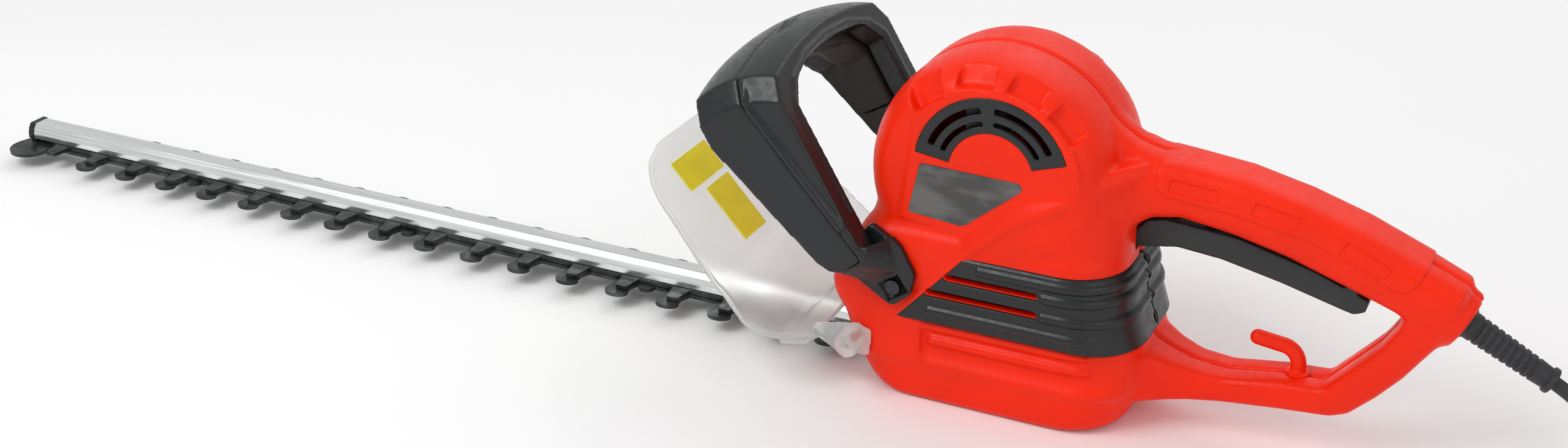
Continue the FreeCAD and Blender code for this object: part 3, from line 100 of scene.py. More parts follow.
# the clear screen's own directions: up its slope, and out of its rear face
SCREEN_UP = Vector((-48, 0, 52)).normalized()
SCREEN_FACE = Vector((52, 0, 48)).normalized()


# ---- mesh helpers ------------------------------------------------------------------------------
def link(obj):
    """Puts a new object in the scene."""
    bpy.context.scene.collection.objects.link(obj)
    return obj


def mesh_object(name, vertices, faces):
    """A mesh from corners given in millimetres."""
    mesh = bpy.data.meshes.new(name)
    mesh.from_pydata([Vector(v) * MM for v in vertices], [], faces)
    bm = bmesh.new()
    bm.from_mesh(mesh)
    bmesh.ops.recalc_face_normals(bm, faces=bm.faces)
    bm.to_mesh(mesh)
    bm.free()
    return link(bpy.data.objects.new(name, mesh))


def skin(name, rings):
    """Closed solid through rings of equal length."""
    count = len(rings[0])
    vertices = [point for ring in rings for point in ring]
    faces = [tuple(range(count))[::-1], tuple(range(len(vertices) - count, len(vertices)))]
    for i in range(len(rings) - 1):
        for j in range(count):
            k = (j + 1) % count
            faces.append((i * count + j, i * count + k, (i + 1) * count + k, (i + 1) * count + j))
    return mesh_object(name, vertices, faces)


def box(x0, x1, z0, z1):
    """Corners of a rectangle in the X-Z plane."""
    return [(x0, z0), (x1, z0), (x1, z1), (x0, z1)]


def prism(name, outline, y0, y1):
    """X-Z outline carried from y0 to y1."""
    return skin(name, [[(x, y, z) for x, z in outline] for y in (y0, y1)])


def baked(obj):
    """Replaces the object's mesh with what its modifiers make of it."""
    graph = bpy.context.evaluated_depsgraph_get()
    graph.update()
    mesh = bpy.data.meshes.new_from_object(obj.evaluated_get(graph))
    obj.modifiers.clear()
    old = obj.data
    obj.data = mesh
    bpy.data.meshes.remove(old)
    return obj


def copy_of(node, name):
    """A new object with a copy of a CAD node's mesh."""
    mesh = NODES[node].data.copy()
    mesh.materials.clear()
    return link(bpy.data.objects.new(name, mesh))


def joined(name, objects):
    """One object that holds the meshes of several."""
    bm = bmesh.new()
    for obj in objects:
        bm.from_mesh(obj.data)
        bpy.data.objects.remove(obj)
    mesh = bpy.data.meshes.new(name)
    bm.to_mesh(mesh)
    bm.free()
    return link(bpy.data.objects.new(name, mesh))


def keep_side(obj, y_limit):
    """Cuts the mesh at y_limit and keeps, and closes, what lies on the left of it."""
    bm = bmesh.new()
    bm.from_mesh(obj.data)
    geometry = bm.verts[:] + bm.edges[:] + bm.faces[:]
    cut = bmesh.ops.bisect_plane(bm, geom=geometry, plane_co=(0, y_limit * MM, 0), plane_no=(0, 1, 0),
                                 clear_outer=True)
    edges = [e for e in cut["geom_cut"] if isinstance(e, bmesh.types.BMEdge)]
    bmesh.ops.holes_fill(bm, edges=edges)
    bmesh.ops.recalc_face_normals(bm, faces=bm.faces)
    bm.to_mesh(obj.data)
    bm.free()
    return obj


def carved(obj, cutters):
    """Takes the cutters out of the object."""
    for cutter in cutters:
        modifier = obj.modifiers.new("cut", "BOOLEAN")
        modifier.operation = "DIFFERENCE"
        modifier.solver = "MANIFOLD"
        modifier.object = cutter
    baked(obj)
    for cutter in cutters:
        bpy.data.objects.remove(cutter)
    return obj


def trimmed(obj, form):
    """Keeps what lies inside the form."""
    modifier = obj.modifiers.new("trim", "BOOLEAN")
    modifier.operation = "INTERSECT"
    modifier.solver = "MANIFOLD"
    modifier.object = form
    baked(obj)
    bpy.data.objects.remove(form)
    return obj


def round_ring(centre, side, other, radius, count):
    """Circle of points in the plane of two directions."""
    angles = [2 * math.pi * i / count for i in range(count)]
    return [tuple(centre + (side * math.cos(a) + other * math.sin(a)) * radius) for a in angles]


def turned(name, start, direction, profile, count=40):
    """Solid of revolution from (along, radius) pairs."""
    axis = Vector(direction).normalized()
    side = axis.orthogonal().normalized()
    other = axis.cross(side)
    rings = []
    for along, radius in profile:
        centre = Vector(start) + axis * along
        rings.append(round_ring(centre, side, other, radius, count))
    return skin(name, rings)


def tube(name, points, radius, count=12):
    """Round rod along a line of points."""
    points = [Vector(point) for point in points]
    rings = []
    for i, point in enumerate(points):
        along = (points[min(i + 1, len(points) - 1)] - points[max(i - 1, 0)]).normalized()
        side = along.cross(FORWARD).normalized()
        other = side.cross(along)
        rings.append(round_ring(point, side, other, radius, count))
    return skin(name, rings)


def moulded(obj, voxel, rounds):
    """Melts overlapping solids together and softens their edges, as a moulding's are."""
    remesh = obj.modifiers.new("melt", "REMESH")
    remesh.mode = "VOXEL"
    remesh.voxel_size = voxel * MM
    smooth = obj.modifiers.new("soften", "SMOOTH")
    smooth.factor = 0.5
    smooth.iterations = rounds
    baked(obj)
    return smoothed(obj)


def smoothed(obj):
    """Smooth shading all over."""
    for polygon in obj.data.polygons:
        polygon.use_smooth = True
    return obj


def smooth_by_angle(obj):
    """Smooth shading that keeps edges sharper than 40 degrees."""
    smoothed(obj).data.set_sharp_from_angle(angle=math.radians(40))
    return obj


def mirror_copy(obj, name):
    """The same piece on the machine's other side."""
    mesh = obj.data.copy()
    mesh.transform(Matrix.Diagonal((1, -1, 1, 1)))
    mesh.flip_normals()
    return link(bpy.data.objects.new(name, mesh))


def place(obj, body, slot, *nodes, material=None):
    """Paints a finished piece, and lets it ride with its body in the CAD nodes' stead."""
    obj.data.materials.clear()
    obj.data.materials.append(material or MATERIALS[slot])
    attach(obj, body)
    if nodes:
        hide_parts(*nodes)
    return obj


def place_pair(left, right_name, slot, left_node, right_node):
    """Places a piece of the left side, and its mirror image on the right."""
    right = mirror_copy(left, right_name)
    place(left, ROOT, slot, left_node)
    place(right, ROOT, slot, right_node)


def softened_node(node, name, slot, voxel, rounds, body=ROOT):
    """A CAD moulding with softened edges."""
    return place(moulded(copy_of(node, name), voxel, rounds), body, slot, node)


# ---- materials ---------------------------------------------------------------------------------
class Paint:
    """A Principled material and the node chains that feed it."""

    def __init__(self, name, colour, roughness, metallic=0.0):
        self.material = bpy.data.materials.new(name)
        self.material.use_nodes = True
        self.tree = self.material.node_tree
        self.shader = self.tree.nodes["Principled BSDF"]
        self.shader.inputs["Base Color"].default_value = (*colour, 1)
        self.shader.inputs["Roughness"].default_value = roughness
        self.shader.inputs["Metallic"].default_value = metallic
        self.colour = colour
        self.height = None
        coordinates = self.node("ShaderNodeTexCoord")
        self.place = coordinates.outputs["Object"]

    def node(self, kind, **values):
        """A new node of the tree, with its settings."""
        made = self.tree.nodes.new(kind)
        for key, value in values.items():
            setattr(made, key, value)
        return made

    def noise(self, scale, detail=3.0, stretch=(1, 1, 1)):
        """Noise in the row frame; scale is per metre."""
        mapping = self.node("ShaderNodeMapping")
        mapping.inputs["Scale"].default_value = stretch
        texture = self.node("ShaderNodeTexNoise")
        texture.inputs["Scale"].default_value = scale
        texture.inputs["Detail"].default_value = detail
        self.tree.links.new(self.place, mapping.inputs["Vector"])
        self.tree.links.new(mapping.outputs["Vector"], texture.inputs["Vector"])
        return texture.outputs["Fac"]

    def spread(self, source, low, high, from_low=0.35, from_high=0.65):
        """Maps a texture's usual range to low..high."""
        remap = self.node("ShaderNodeMapRange")
        self.tree.links.new(source, remap.inputs["Value"])
        limits = {"From Min": from_low, "From Max": from_high, "To Min": low, "To Max": high}
        for key, value in limits.items():
            remap.inputs[key].default_value = value
        return remap.outputs["Result"]

    def tint(self, source, first, second):
        """Colour that wanders between two tones."""
        mix = self.node("ShaderNodeMix", data_type="RGBA")
        self.tree.links.new(source, mix.inputs["Factor"])
        mix.inputs["A"].default_value = (*first, 1)
        mix.inputs["B"].default_value = (*second, 1)
        return mix.outputs["Result"]

    def colour_from(self, output):
        self.tree.links.new(output, self.shader.inputs["Base Color"])
        return self

    def roughness_from(self, output):
        self.tree.links.new(output, self.shader.inputs["Roughness"])
        return self

    def bump(self, source, distance, strength=1.0):
        """Adds a layer of relief; distance is in millimetres."""
        bump = self.node("ShaderNodeBump")
        bump.inputs["Distance"].default_value = distance * MM
        bump.inputs["Strength"].default_value = strength
        self.tree.links.new(source, bump.inputs["Height"])
        if self.height:
            self.tree.links.new(self.height, bump.inputs["Normal"])
        self.height = bump.outputs["Normal"]
        self.tree.links.new(self.height, self.shader.inputs["Normal"])
        return self


def scaled(colour, factor):
    """A lighter or darker tone of a colour."""
    return tuple(min(1.0, channel * factor) for channel in colour)


def moulded_plastic(name, colour, roughness, grain=0.05, grain_scale=1500, variation=0.12, shine=0.3):
    """Injection-moulded plastic: fine spark-eroded grain, and a slight drift of tone and gloss."""
    paint = Paint(name, colour, roughness)
    paint.shader.inputs["Specular IOR Level"].default_value = shine
    drift = paint.spread(paint.noise(22, 4), 0.0, 1.0)
    paint.colour_from(paint.tint(drift, scaled(colour, 1 - variation), scaled(colour, 1 + variation)))
    paint.roughness_from(paint.spread(paint.noise(260, 4), roughness - 0.06, roughness + 0.08))
    paint.bump(paint.noise(grain_scale, 2), grain, 0.6)
    return paint.material


def worked_metal(name, colour, roughness, stretch=(1, 1, 1), scale=700, relief=0.02, variation=0.15):
    """Metal with fine marks of its making; stretch draws them out along an axis."""
    paint = Paint(name, colour, roughness, metallic=1.0)
    marks = paint.noise(scale, 5, stretch)
    wear = paint.spread(marks, 0, 1)
    paint.colour_from(paint.tint(wear, scaled(colour, 1 - variation), scaled(colour, 1 + variation)))
    paint.roughness_from(paint.spread(marks, roughness - 0.07, roughness + 0.1))
    paint.bump(marks, relief, 0.5)
    return paint.material


def blackened_steel():
    """Hardened cutting steel with a dark finish that rubs through a little."""
    dark = (0.028, 0.032, 0.03)
    paint = Paint("blackened_steel", dark, 0.36, metallic=0.65)
    rubbed = paint.spread(paint.noise(90, 6), 0, 1, 0.45, 0.75)
    paint.colour_from(paint.tint(rubbed, dark, (0.11, 0.12, 0.115)))
    paint.roughness_from(paint.spread(paint.noise(400, 4), 0.28, 0.48))
    paint.bump(paint.noise(1400, 3), 0.02, 0.5)
    return paint.material


def clear_guard():
    """Milky translucent polypropylene."""
    paint = Paint("milky_guard", (0.93, 0.94, 0.93), 0.28)
    paint.shader.inputs["Transmission Weight"].default_value = 0.72
    paint.shader.inputs["IOR"].default_value = 1.2
    haze = paint.spread(paint.noise(14, 3), 0, 1)
    paint.colour_from(paint.tint(haze, (0.9, 0.915, 0.905), (0.95, 0.96, 0.95)))
    paint.roughness_from(paint.spread(paint.noise(60, 3), 0.3, 0.4))
    paint.bump(paint.noise(400, 2), 0.01, 0.2)
    return paint.material


def rubber(name, colour):
    """Dull rubber with a faint bloom."""
    paint = Paint(name, colour, 0.5)
    paint.roughness_from(paint.spread(paint.noise(300, 3), 0.42, 0.58))
    bloom = paint.spread(paint.noise(40, 3), 0, 1)
    paint.colour_from(paint.tint(bloom, scaled(colour, 0.8), scaled(colour, 1.3)))
    paint.bump(paint.noise(1100, 3), 0.03, 0.5)
    return paint.material


def blank_label():
    """Glossy dark film with painted reflection: lighter streaks in its colour stand in for the studio it
    mirrors.
    """
    paint = Paint("blank_label", (0.05, 0.048, 0.045), 0.1)
    # painted reflection: the colour runs lighter in stretched streaks, standing in for mirrored studio
    # light
    painted_reflection_streaks = paint.spread(paint.noise(45, 2, (1, 1, 2.2)), 0, 1, 0.42, 0.6)
    paint.colour_from(paint.tint(painted_reflection_streaks, (0.02, 0.019, 0.018), (0.09, 0.085, 0.08)))
    paint.roughness_from(paint.spread(paint.noise(120, 2), 0.06, 0.14))
    paint.shader.inputs["Coat Weight"].default_value = 0.6
    paint.bump(paint.noise(60, 2), 0.05, 0.3)
    return paint.material


def yellow_film():
    """Plain printed film."""
    colour = (0.96, 0.86, 0.03)
    paint = Paint("yellow_film", colour, 0.35)
    print_tone = paint.spread(paint.noise(80, 3), 0, 1)
    paint.colour_from(paint.tint(print_tone, scaled(colour, 0.93), scaled(colour, 1.05)))
    paint.bump(paint.noise(500, 2), 0.02, 0.4)
    return paint.material


def wound_wire(name, colour):
    """Enamelled wire laid turn on turn."""
    paint = Paint(name, colour, 0.3, metallic=0.8)
    wave = paint.node("ShaderNodeTexWave", bands_direction="Z")
    wave.inputs["Scale"].default_value = 260
    wave.inputs["Distortion"].default_value = 1.5
    paint.tree.links.new(paint.place, wave.inputs["Vector"])
    paint.colour_from(paint.tint(wave.outputs["Fac"], scaled(colour, 0.5), colour))
    paint.bump(wave.outputs["Fac"], 0.25, 0.8)
    return paint.material


def laminated(name, colour):
    """Stacked sheets seen edge on."""
    paint = Paint(name, colour, 0.4, metallic=0.9)
    wave = paint.node("ShaderNodeTexWave", bands_direction="Z")
    wave.inputs["Scale"].default_value = 320
    paint.tree.links.new(paint.place, wave.inputs["Vector"])
    paint.colour_from(paint.tint(wave.outputs["Fac"], scaled(colour, 0.6), colour))
    paint.bump(wave.outputs["Fac"], 0.15, 0.6)
    return paint.material


# moulded_plastic takes roughness, grain, grain scale, variation and shine after the colour, and
# worked_metal roughness, stretch, scale, relief and variation
RED = (0.86, 0.02, 0.001)
CHARCOAL = (0.012, 0.0135, 0.0145)
MATERIALS = {
    "blade_steel": blackened_steel(),
    "bar_aluminium": worked_metal("drawn_aluminium", (0.83, 0.84, 0.84), 0.24, (0.02, 1, 1),
                                  900, 0.012, 0.08),
    "fastener_steel": worked_metal("plated_steel", (0.6, 0.6, 0.58), 0.3),
    "black_screws": worked_metal("black_oxide", (0.06, 0.06, 0.065), 0.42),
    "zinc_plate": worked_metal("zinc_plate", (0.55, 0.56, 0.58), 0.38, scale=160),
    "red_plastic": moulded_plastic("red_nylon", RED, 0.36, 0.05, 1700, 0.05, 0.2),
    "black_plastic": moulded_plastic("charcoal_nylon", CHARCOAL, 0.3, 0.03, 1300, 0.12, 0.4),
    "lever_plastic": moulded_plastic("satin_black", (0.028, 0.03, 0.03), 0.4, 0.03, 1500, 0.12),
    "label_gloss": blank_label(),
    "clear_plastic": clear_guard(),
    "spring_steel": worked_metal("spring_wire", (0.62, 0.62, 0.62), 0.2),
    "cast_aluminium": worked_metal("cast_aluminium", (0.62, 0.63, 0.63), 0.5, scale=320, relief=0.12),
    "gear_steel": worked_metal("ground_steel", (0.5, 0.5, 0.51), 0.25),
    "bearing_steel": worked_metal("bearing_steel", (0.74, 0.74, 0.76), 0.12, relief=0.004),
    "lamination_steel": laminated("laminated_steel", (0.4, 0.4, 0.42)),
    "copper_wire": wound_wire("enamelled_copper", (0.62, 0.22, 0.07)),
    "copper_bar": worked_metal("turned_copper", (0.78, 0.38, 0.2), 0.22),
    "brass_parts": worked_metal("brass", (0.78, 0.58, 0.24), 0.28),
    "carbon": moulded_plastic("pressed_carbon", (0.02, 0.02, 0.02), 0.55, 0.06, 900),
    "switch_plastic": moulded_plastic("switch_case", (0.07, 0.07, 0.08), 0.3, 0.02),
    "cord_rubber": rubber("cord_rubber", (0.016, 0.017, 0.019)),
}
YELLOW = yellow_film()


def paint_nodes():
    """Every CAD node gets its slot's material."""
    for part in frame["record"]["subparts"]:
        node = NODES[part["node"]]
        material = MATERIALS[part["material_slot"]]
        for slot in node.material_slots:
            slot.material = material
        if not node.material_slots:
            node.data.materials.append(material)


# ---- camera, floor and lights ------------------------------------------------------------------
CAMERA_PLACE = (0.2868, -0.8281, 0.4998)
CAMERA_AZIMUTH = math.radians(25.95)
CAMERA_ELEVATION = math.radians(25.70)
CAMERA_LENS = 46.97
SENSOR_WIDTH = 36.0
CLIP_START = 0.02
WORLD_STRENGTH = 0.66
FLOOR_HALF = 4000
FLOOR_LEVEL = -0.3
LAMP_TARGET = Vector((-0.1, 0, 0.08))
# name, place in metres, size in metres and power in watts
LAMPS = (("key", (-0.7, -0.9, 1.3), 0.8, 11),
         ("fill", (1.1, -0.7, 0.7), 0.8, 2),
         ("back", (0.1, 1.0, 1.2), 1.2, 4))


def studio():
    """The photograph's camera, a white surround, a pale floor and three soft lights."""
    camera()
    surround()
    floor()
    for name, position, size, power in LAMPS:
        lamp(name, position, size, power)


def camera():
    """Camera whose back points at its azimuth and elevation."""
    level = math.cos(CAMERA_ELEVATION)
    back = Vector((math.sin(CAMERA_AZIMUTH) * level, -math.cos(CAMERA_AZIMUTH) * level,
                   math.sin(CAMERA_ELEVATION)))
    data = bpy.data.cameras.new("camera")
    data.sensor_width = SENSOR_WIDTH
    data.lens = CAMERA_LENS
    data.clip_start = CLIP_START
    obj = link(bpy.data.objects.new("camera", data))
    obj.location = CAMERA_PLACE
    obj.rotation_euler = back.to_track_quat("Z", "Y").to_euler()
    bpy.context.scene.camera = obj


def surround():
    """Even white light from all round."""
    world = bpy.data.worlds.new("studio")
    world.use_nodes = True
    background = world.node_tree.nodes["Background"]
    background.inputs["Color"].default_value = (1, 1, 1, 1)
    background.inputs["Strength"].default_value = WORLD_STRENGTH
    bpy.context.scene.world = world
    bpy.context.scene.view_settings.view_transform = "Standard"


def floor():
    """Wide pale sheet just under the machine."""
    far = FLOOR_HALF
    corners = [(x, y, FLOOR_LEVEL) for x, y in ((-far, -far), (far, -far), (far, far), (-far, far))]
    obj = mesh_object("floor", corners, [(0, 1, 2, 3)])
    paint = Paint("pale_floor", (0.9, 0.9, 0.9), 0.7)
    paint.colour_from(paint.tint(paint.noise(3, 2), (0.9, 0.9, 0.9), (0.94, 0.94, 0.94)))
    obj.data.materials.append(paint.material)


def lamp(name, position, size, power):
    """Square soft light that faces the middle of the machine."""
    data = bpy.data.lights.new(name, "AREA")
    data.size = size
    data.energy = power
    light = link(bpy.data.objects.new(name, data))
    light.location = position
    aim = Vector(position) - LAMP_TARGET
    light.rotation_euler = aim.to_track_quat("Z", "Y").to_euler()


# ---- cord --------------------------------------------------------------------------------------
CORD_ROUTE = [(250.6, 0.0, 58.6), (268.5, 0.0, 48.8), (287.0, -3.0, 27.0), (306.0, -8.0, 6.2),
              (342.0, -15.0, 3.4), (384.0, -14.0, 3.3), (418.0, 4.0, 3.3), (431.0, 38.0, 3.3),
              (416.0, 72.0, 3.3), (382.0, 89.0, 3.3), (345.0, 88.0, 5.2)]
CORD_DIAMETER = 6.4


def cord():
    """Round cord along its route, from the cord guard to the plug."""
    plug = softened_node("plug_body", "plug", "cord_rubber", SMALL_VOXEL, 4)
    curve = bpy.data.curves.new("supply_cord", "CURVE")
    curve.dimensions = "3D"
    spline = curve.splines.new("NURBS")
    spline.points.add(len(CORD_ROUTE) - 1)
    for point, place_mm in zip(spline.points, CORD_ROUTE):
        point.co = (*(Vector(place_mm) * MM), 1)
    spline.order_u = 3
    spline.use_endpoint_u = True
    spline.resolution_u = 16
    curve.bevel_depth = CORD_DIAMETER / 2 * MM
    curve.bevel_resolution = 8
    curve.use_fill_caps = True
    obj = link(bpy.data.objects.new("supply_cord", curve))
    place(obj, ROOT, "cord_rubber", "mains_cord")


# ---- red housing -------------------------------------------------------------------------------
def arc(centre, radius, start, stop, steps):
    """Points on a circle in the X-Z plane; angles in degrees from straight up, towards the rear."""
    points = []
    for i in range(steps + 1):
        angle = math.radians(start + (stop - start) * i / steps)
        points.append((centre[0] + radius * math.sin(angle), centre[1] + radius * math.cos(angle)))
    return points


def plan_ring(z, front, rear, half, front_radius, rear_radius, steps=8):
    """Rounded rectangle at one height, from the front left corner round to the front right one."""
    corners = [(front + front_radius, -half + front_radius, front_radius, 180),
               (rear - rear_radius, -half + rear_radius, rear_radius, 270),
               (rear - rear_radius, half - rear_radius, rear_radius, 0),
               (front + front_radius, half - front_radius, front_radius, 90)]
    ring = []
    for x, y, radius, first in corners:
        for i in range(steps + 1):
            angle = math.radians(first + 90 * i / steps)
            ring.append((x + radius * math.cos(angle), y + radius * math.sin(angle), z))
    return ring


def lower_body():
    """Gear and fan housing as (height, front, rear, half width) levels: base, skirt, waist, shoulder."""
    levels = [(0.0, -47, 64, 38.0), (2.2, -50.5, 68.5, 40.0), (6, -55, 71, 40.6), (13, -59.5, 73, 40.6),
              (18.8, -62.5, 74.5, 40.6), (20.2, -63.5, 76, 42), (30, -66.5, 77, 42),
              (38, -69.5, 76.5, 42), (45, -74.5, 75.5, 42), (52, -76, 73.2, 42), (59, -73, 70.6, 42),
              (71, -67, 67.6, 42), (84, -59.8, 66, 42), (88, -57, 65, 40)]
    return skin("lower_body", [plan_ring(*level, NOSE_CORNER, BODY_CORNER) for level in levels])


def neck():
    """Narrower block that joins the lower body to the dome."""
    levels = [(78, -60, 66, 38), (92, -55.5, 66, 38), (108, -51.5, 65, 38), (124, -47, 60, 36)]
    return skin("neck", [plan_ring(*level, NOSE_CORNER - 2, BODY_CORNER - 1) for level in levels])


def dome_ring(y, radius, count=72):
    """Circle round the dome's axis at one distance from the middle plane."""
    return [(DOME_CENTRE[0] + radius * math.sin(2 * math.pi * i / count), y,
             DOME_CENTRE[1] + radius * math.cos(2 * math.pi * i / count)) for i in range(count)]


def dome_profile(steps=10):
    """(y, radius) from the flat side face over the swept shoulder to the crown's edge."""
    flat, crown, side, crown_half = 46.5, 59.0, 38.0, 13.0
    profile = []
    for i in range(steps + 1):
        angle = math.pi / 2 * i / steps
        profile.append((-crown_half - (side - crown_half) * math.cos(angle),
                        flat + (crown - flat) * math.sin(angle)))
    return profile


def dome():
    """Motor housing that lies across the machine."""
    rings = [dome_ring(y, radius) for y, radius in dome_profile()]
    rings += [dome_ring(-y, radius) for y, radius in reversed(dome_profile())]
    return skin("dome", rings)


def section_between(top, bottom, half, power, count=36):
    """Rounded section that stands between two points of the side view."""
    middle = Vector(((top[0] + bottom[0]) / 2, 0, (top[1] + bottom[1]) / 2))
    rise = Vector(((top[0] - bottom[0]) / 2, 0, (top[1] - bottom[1]) / 2))
    ring = []
    for i in range(count):
        angle = 2 * math.pi * i / count
        c, s = math.cos(angle), math.sin(angle)
        across = half * math.copysign(abs(c) ** (2 / power), c)
        up = math.copysign(abs(s) ** (2 / power), s)
        point = middle + rise * up
        ring.append((point.x, across, point.z))
    return ring


def limb(name, stations, power):
    """Loft through (top, bottom, half width) stations."""
    return skin(name, [section_between(top, bottom, half, power) for top, bottom, half in stations])


GRIP_POWER = 3.6
GRIP_STATIONS = [((75, 133), (73, 104), 17.6), ((87, 132.4), (86, 106), 16),
                 ((112, 130), (109, 102.8), 15.8), ((139, 124), (134, 97), 15.8),
                 ((165, 116), (158, 89), 15.8), ((192, 105), (183, 80.5), 15.8)]


def grip():
    """Grip that grows out of the dome's rear shoulder and narrows to a hand's width."""
    shoulder = [((30, 118), (30, 84), 40), ((42, 121), (42, 84), 37.5), ((50, 124), (50, 86), 33),
                ((58, 127.5), (57, 90), 26.5), ((66, 131), (64, 98), 21)]
    return limb("grip", shoulder + GRIP_STATIONS + [((212, 96.4), (201, 69.5), 15.4)], GRIP_POWER)


def top_web():
    """Web that carries the dome's back down on to the grip."""
    stations = [((40, 154), (40, 122), 13), ((48, 147.5), (48, 122), 13), ((55, 141.8), (55, 122), 13),
                ((62, 137.6), (62, 120), 13), ((70, 135.2), (70, 118), 13.4), ((82, 133.4), (82, 116), 14)]
    return limb("top_web", stations, 3.2)


LOOP_POWER = 4.5


def beam():
    """Lower bar of the rear loop, flared where it leaves the body."""
    stations = [((58, 46), (58, 11), 37), ((67, 45), (67, 11), 29.5), ((76, 41), (76, 12), 22.5),
                ((86, 36.4), (86, 13.6), 17.4), ((97, 33), (97, 15.6), 14.4), ((112, 32), (112, 18), 13.2),
                ((137, 36.2), (138, 20.8), 13), ((158, 37.3), (161, 22.9), 13), ((161, 41), (169, 26), 13)]
    return limb("beam", stations, LOOP_POWER)


def strut():
    """Upright of the rear loop, from the lower bar up to the cord's collar."""
    stations = [((156, 37), (161, 22.8), 13), ((161.5, 43.5), (169, 26), 13), ((170, 53), (180, 37), 13),
                ((178.5, 63), (190, 49), 13), ((184.5, 73.5), (198.5, 62), 13.4),
                ((189, 86), (206, 73), 14.5)]
    return limb("strut", stations, LOOP_POWER)


def gland_rings(start, profile, count):
    """Circles along the gland's direction from (along, radius) pairs."""
    across = Vector((0, 1, 0))
    return [round_ring(start + GLAND_ALONG * along, GLAND_SIDE, across, radius, count)
            for along, radius in profile]


def gland():
    """Round collar that the cord guard leaves through."""
    return skin("gland", gland_rings(GLAND_START, ((0, 14.3), (12.5, 14.3), (14, 13.4)), 40))


def plan_path(x_start, angle_end):
    """Points and outward directions along the body's side and round its rear corner."""
    points = [((x, -BODY_HALF), (0, -1)) for x in (x_start, (x_start + SIDE_END) / 2)]
    centre_x, centre_y = BODY_REAR - BODY_CORNER, -(BODY_HALF - BODY_CORNER)
    steps = 8
    for i in range(steps + 1):
        angle = math.radians(angle_end * i / steps)
        dx, dy = math.sin(angle), -math.cos(angle)
        points.append(((centre_x + BODY_CORNER * dx, centre_y + BODY_CORNER * dy), (dx, dy)))
    return points


def ledge_panel():
    """Flared side panel whose upper edge sweeps from the front corner up into the grip.

    Stations are x, the crease's height, the low line's height, the inner and outer half widths, and the
    foot's height. Under the low line the panel drops back by the ribbed cover's room.
    """
    stations = [(-46, 46, 37, 37, 42.2, 30), (-37, 58, 45, 37, 43.2, 36), (-26.5, 70, 57, 37, 43.4, 44),
                (-15, 86, 69.5, 37, 43.4, 52), (-2.5, 100.5, 84, 37, 43.4, 62),
                (13, 112, 99, 37, 43.4, 74), (23, 117.6, 106, 37, 43.2, 76), (34, 121.8, 112, 36, 42.2, 78),
                (44, 125.3, 117, 34, 39.8, 80), (52, 128, 121.3, 31, 35.6, 88),
                (60, 130.4, 124.2, 24, 28.2, 94), (70, 131.6, 127, 16, 18.6, 108)]
    root, drop_height = -10, 5
    rings = []
    for x, crease, low, inner, outer, foot in stations:
        middle = (crease + low) / 2
        knee = max(foot + 1, low - drop_height)
        rings.append([(x, root, crease), (x, -inner, crease), (x, -(inner + outer) / 2, middle),
                      (x, -outer, low), (x, -outer + 1.3, knee), (x, -outer + 1.4, foot), (x, root, foot)])
    return skin("ledge", rings)


def round_disc():
    """Raised round land that carries the grille and the name plate."""
    lower_edge = [(14, 101), (-8, 91), (-38, 93.5)]
    outline = arc(GRILLE_CENTRE, DISC_RADIUS, -62, 108, 36) + lower_edge
    return prism("disc", outline, -36, DISC_FACE)


def panel_section(depth):
    """(outwards, height) corners of the sunk panel's cutter at one depth."""
    outside, top, slope_top, slope_foot = 3, 46, 26.4, 20.2
    return [(outside, top), (-depth, top), (-depth, slope_top), (0.6, slope_foot), (outside, slope_foot)]


def panel_recess():
    """Sunk panel low on the side, with a sloping foot; it fades out round the rear corner."""
    start, turn, fade_steps = -31, 58, 5.0
    path = plan_path(start, turn)
    rings = []
    for i, ((x, y), (dx, dy)) in enumerate(path):
        share = min(1.0, 0.02 + i, (len(path) - 1 - i) / fade_steps)
        rings.append([(x + dx * out, y + dy * out, z) for out, z in panel_section(PANEL_DEPTH * share)])
    rim = [(x + 5.5, y, z) for x, y, z in rings[0]]
    sunk = [(start + 7, -BODY_HALF - out, z) for out, z in panel_section(PANEL_DEPTH)]
    return skin("panel_recess", [rings[0], rim, sunk] + rings[1:])


def half_rib(x0, x1, z):
    """Half-round rib in the sunk panel, tapered at its rear end."""
    radius, steps = 2.5, 12
    y = -BODY_HALF + PANEL_DEPTH - 0.5
    back, up = Vector((0, 1, 0)), Vector((0, 0, 1))
    stations = ((x0, 0.9), (x0 + 1.5, 1), (x1 - 16, 1), (x1 - 6, 0.75), (x1, 0.3))
    return skin("rib", [round_ring(Vector((x, y, z)), back, up, radius * share, steps)
                        for x, share in stations])


def arc_block(inner, outer, half_angle, y0, y1):
    """Arc-shaped block round the grille's centre, tilted as the grille is."""
    outline = arc(GRILLE_CENTRE, outer, -half_angle - GRILLE_TILT, half_angle - GRILLE_TILT, 28)
    outline += arc(GRILLE_CENTRE, inner, half_angle - GRILLE_TILT, -half_angle - GRILLE_TILT, 20)
    return prism("arc_block", outline, y0, y1)


def scoop(start, stop, inner, outer):
    """Wedge that is cut into the dome's shoulder, with a floor that slopes outwards."""
    narrowing, outer_floor, inner_floor = 1.5, -27.0, -31.5
    outer_points = arc(DOME_CENTRE, outer, start + narrowing, stop - narrowing, 4)
    inner_points = arc(DOME_CENTRE, inner, stop, start, 4)
    floor_ring = [(x, outer_floor, z) for x, z in outer_points]
    floor_ring += [(x, inner_floor, z) for x, z in inner_points]
    return skin("scoop", [floor_ring, [(x, -CUTTER_REACH, z) for x, _, z in floor_ring]])


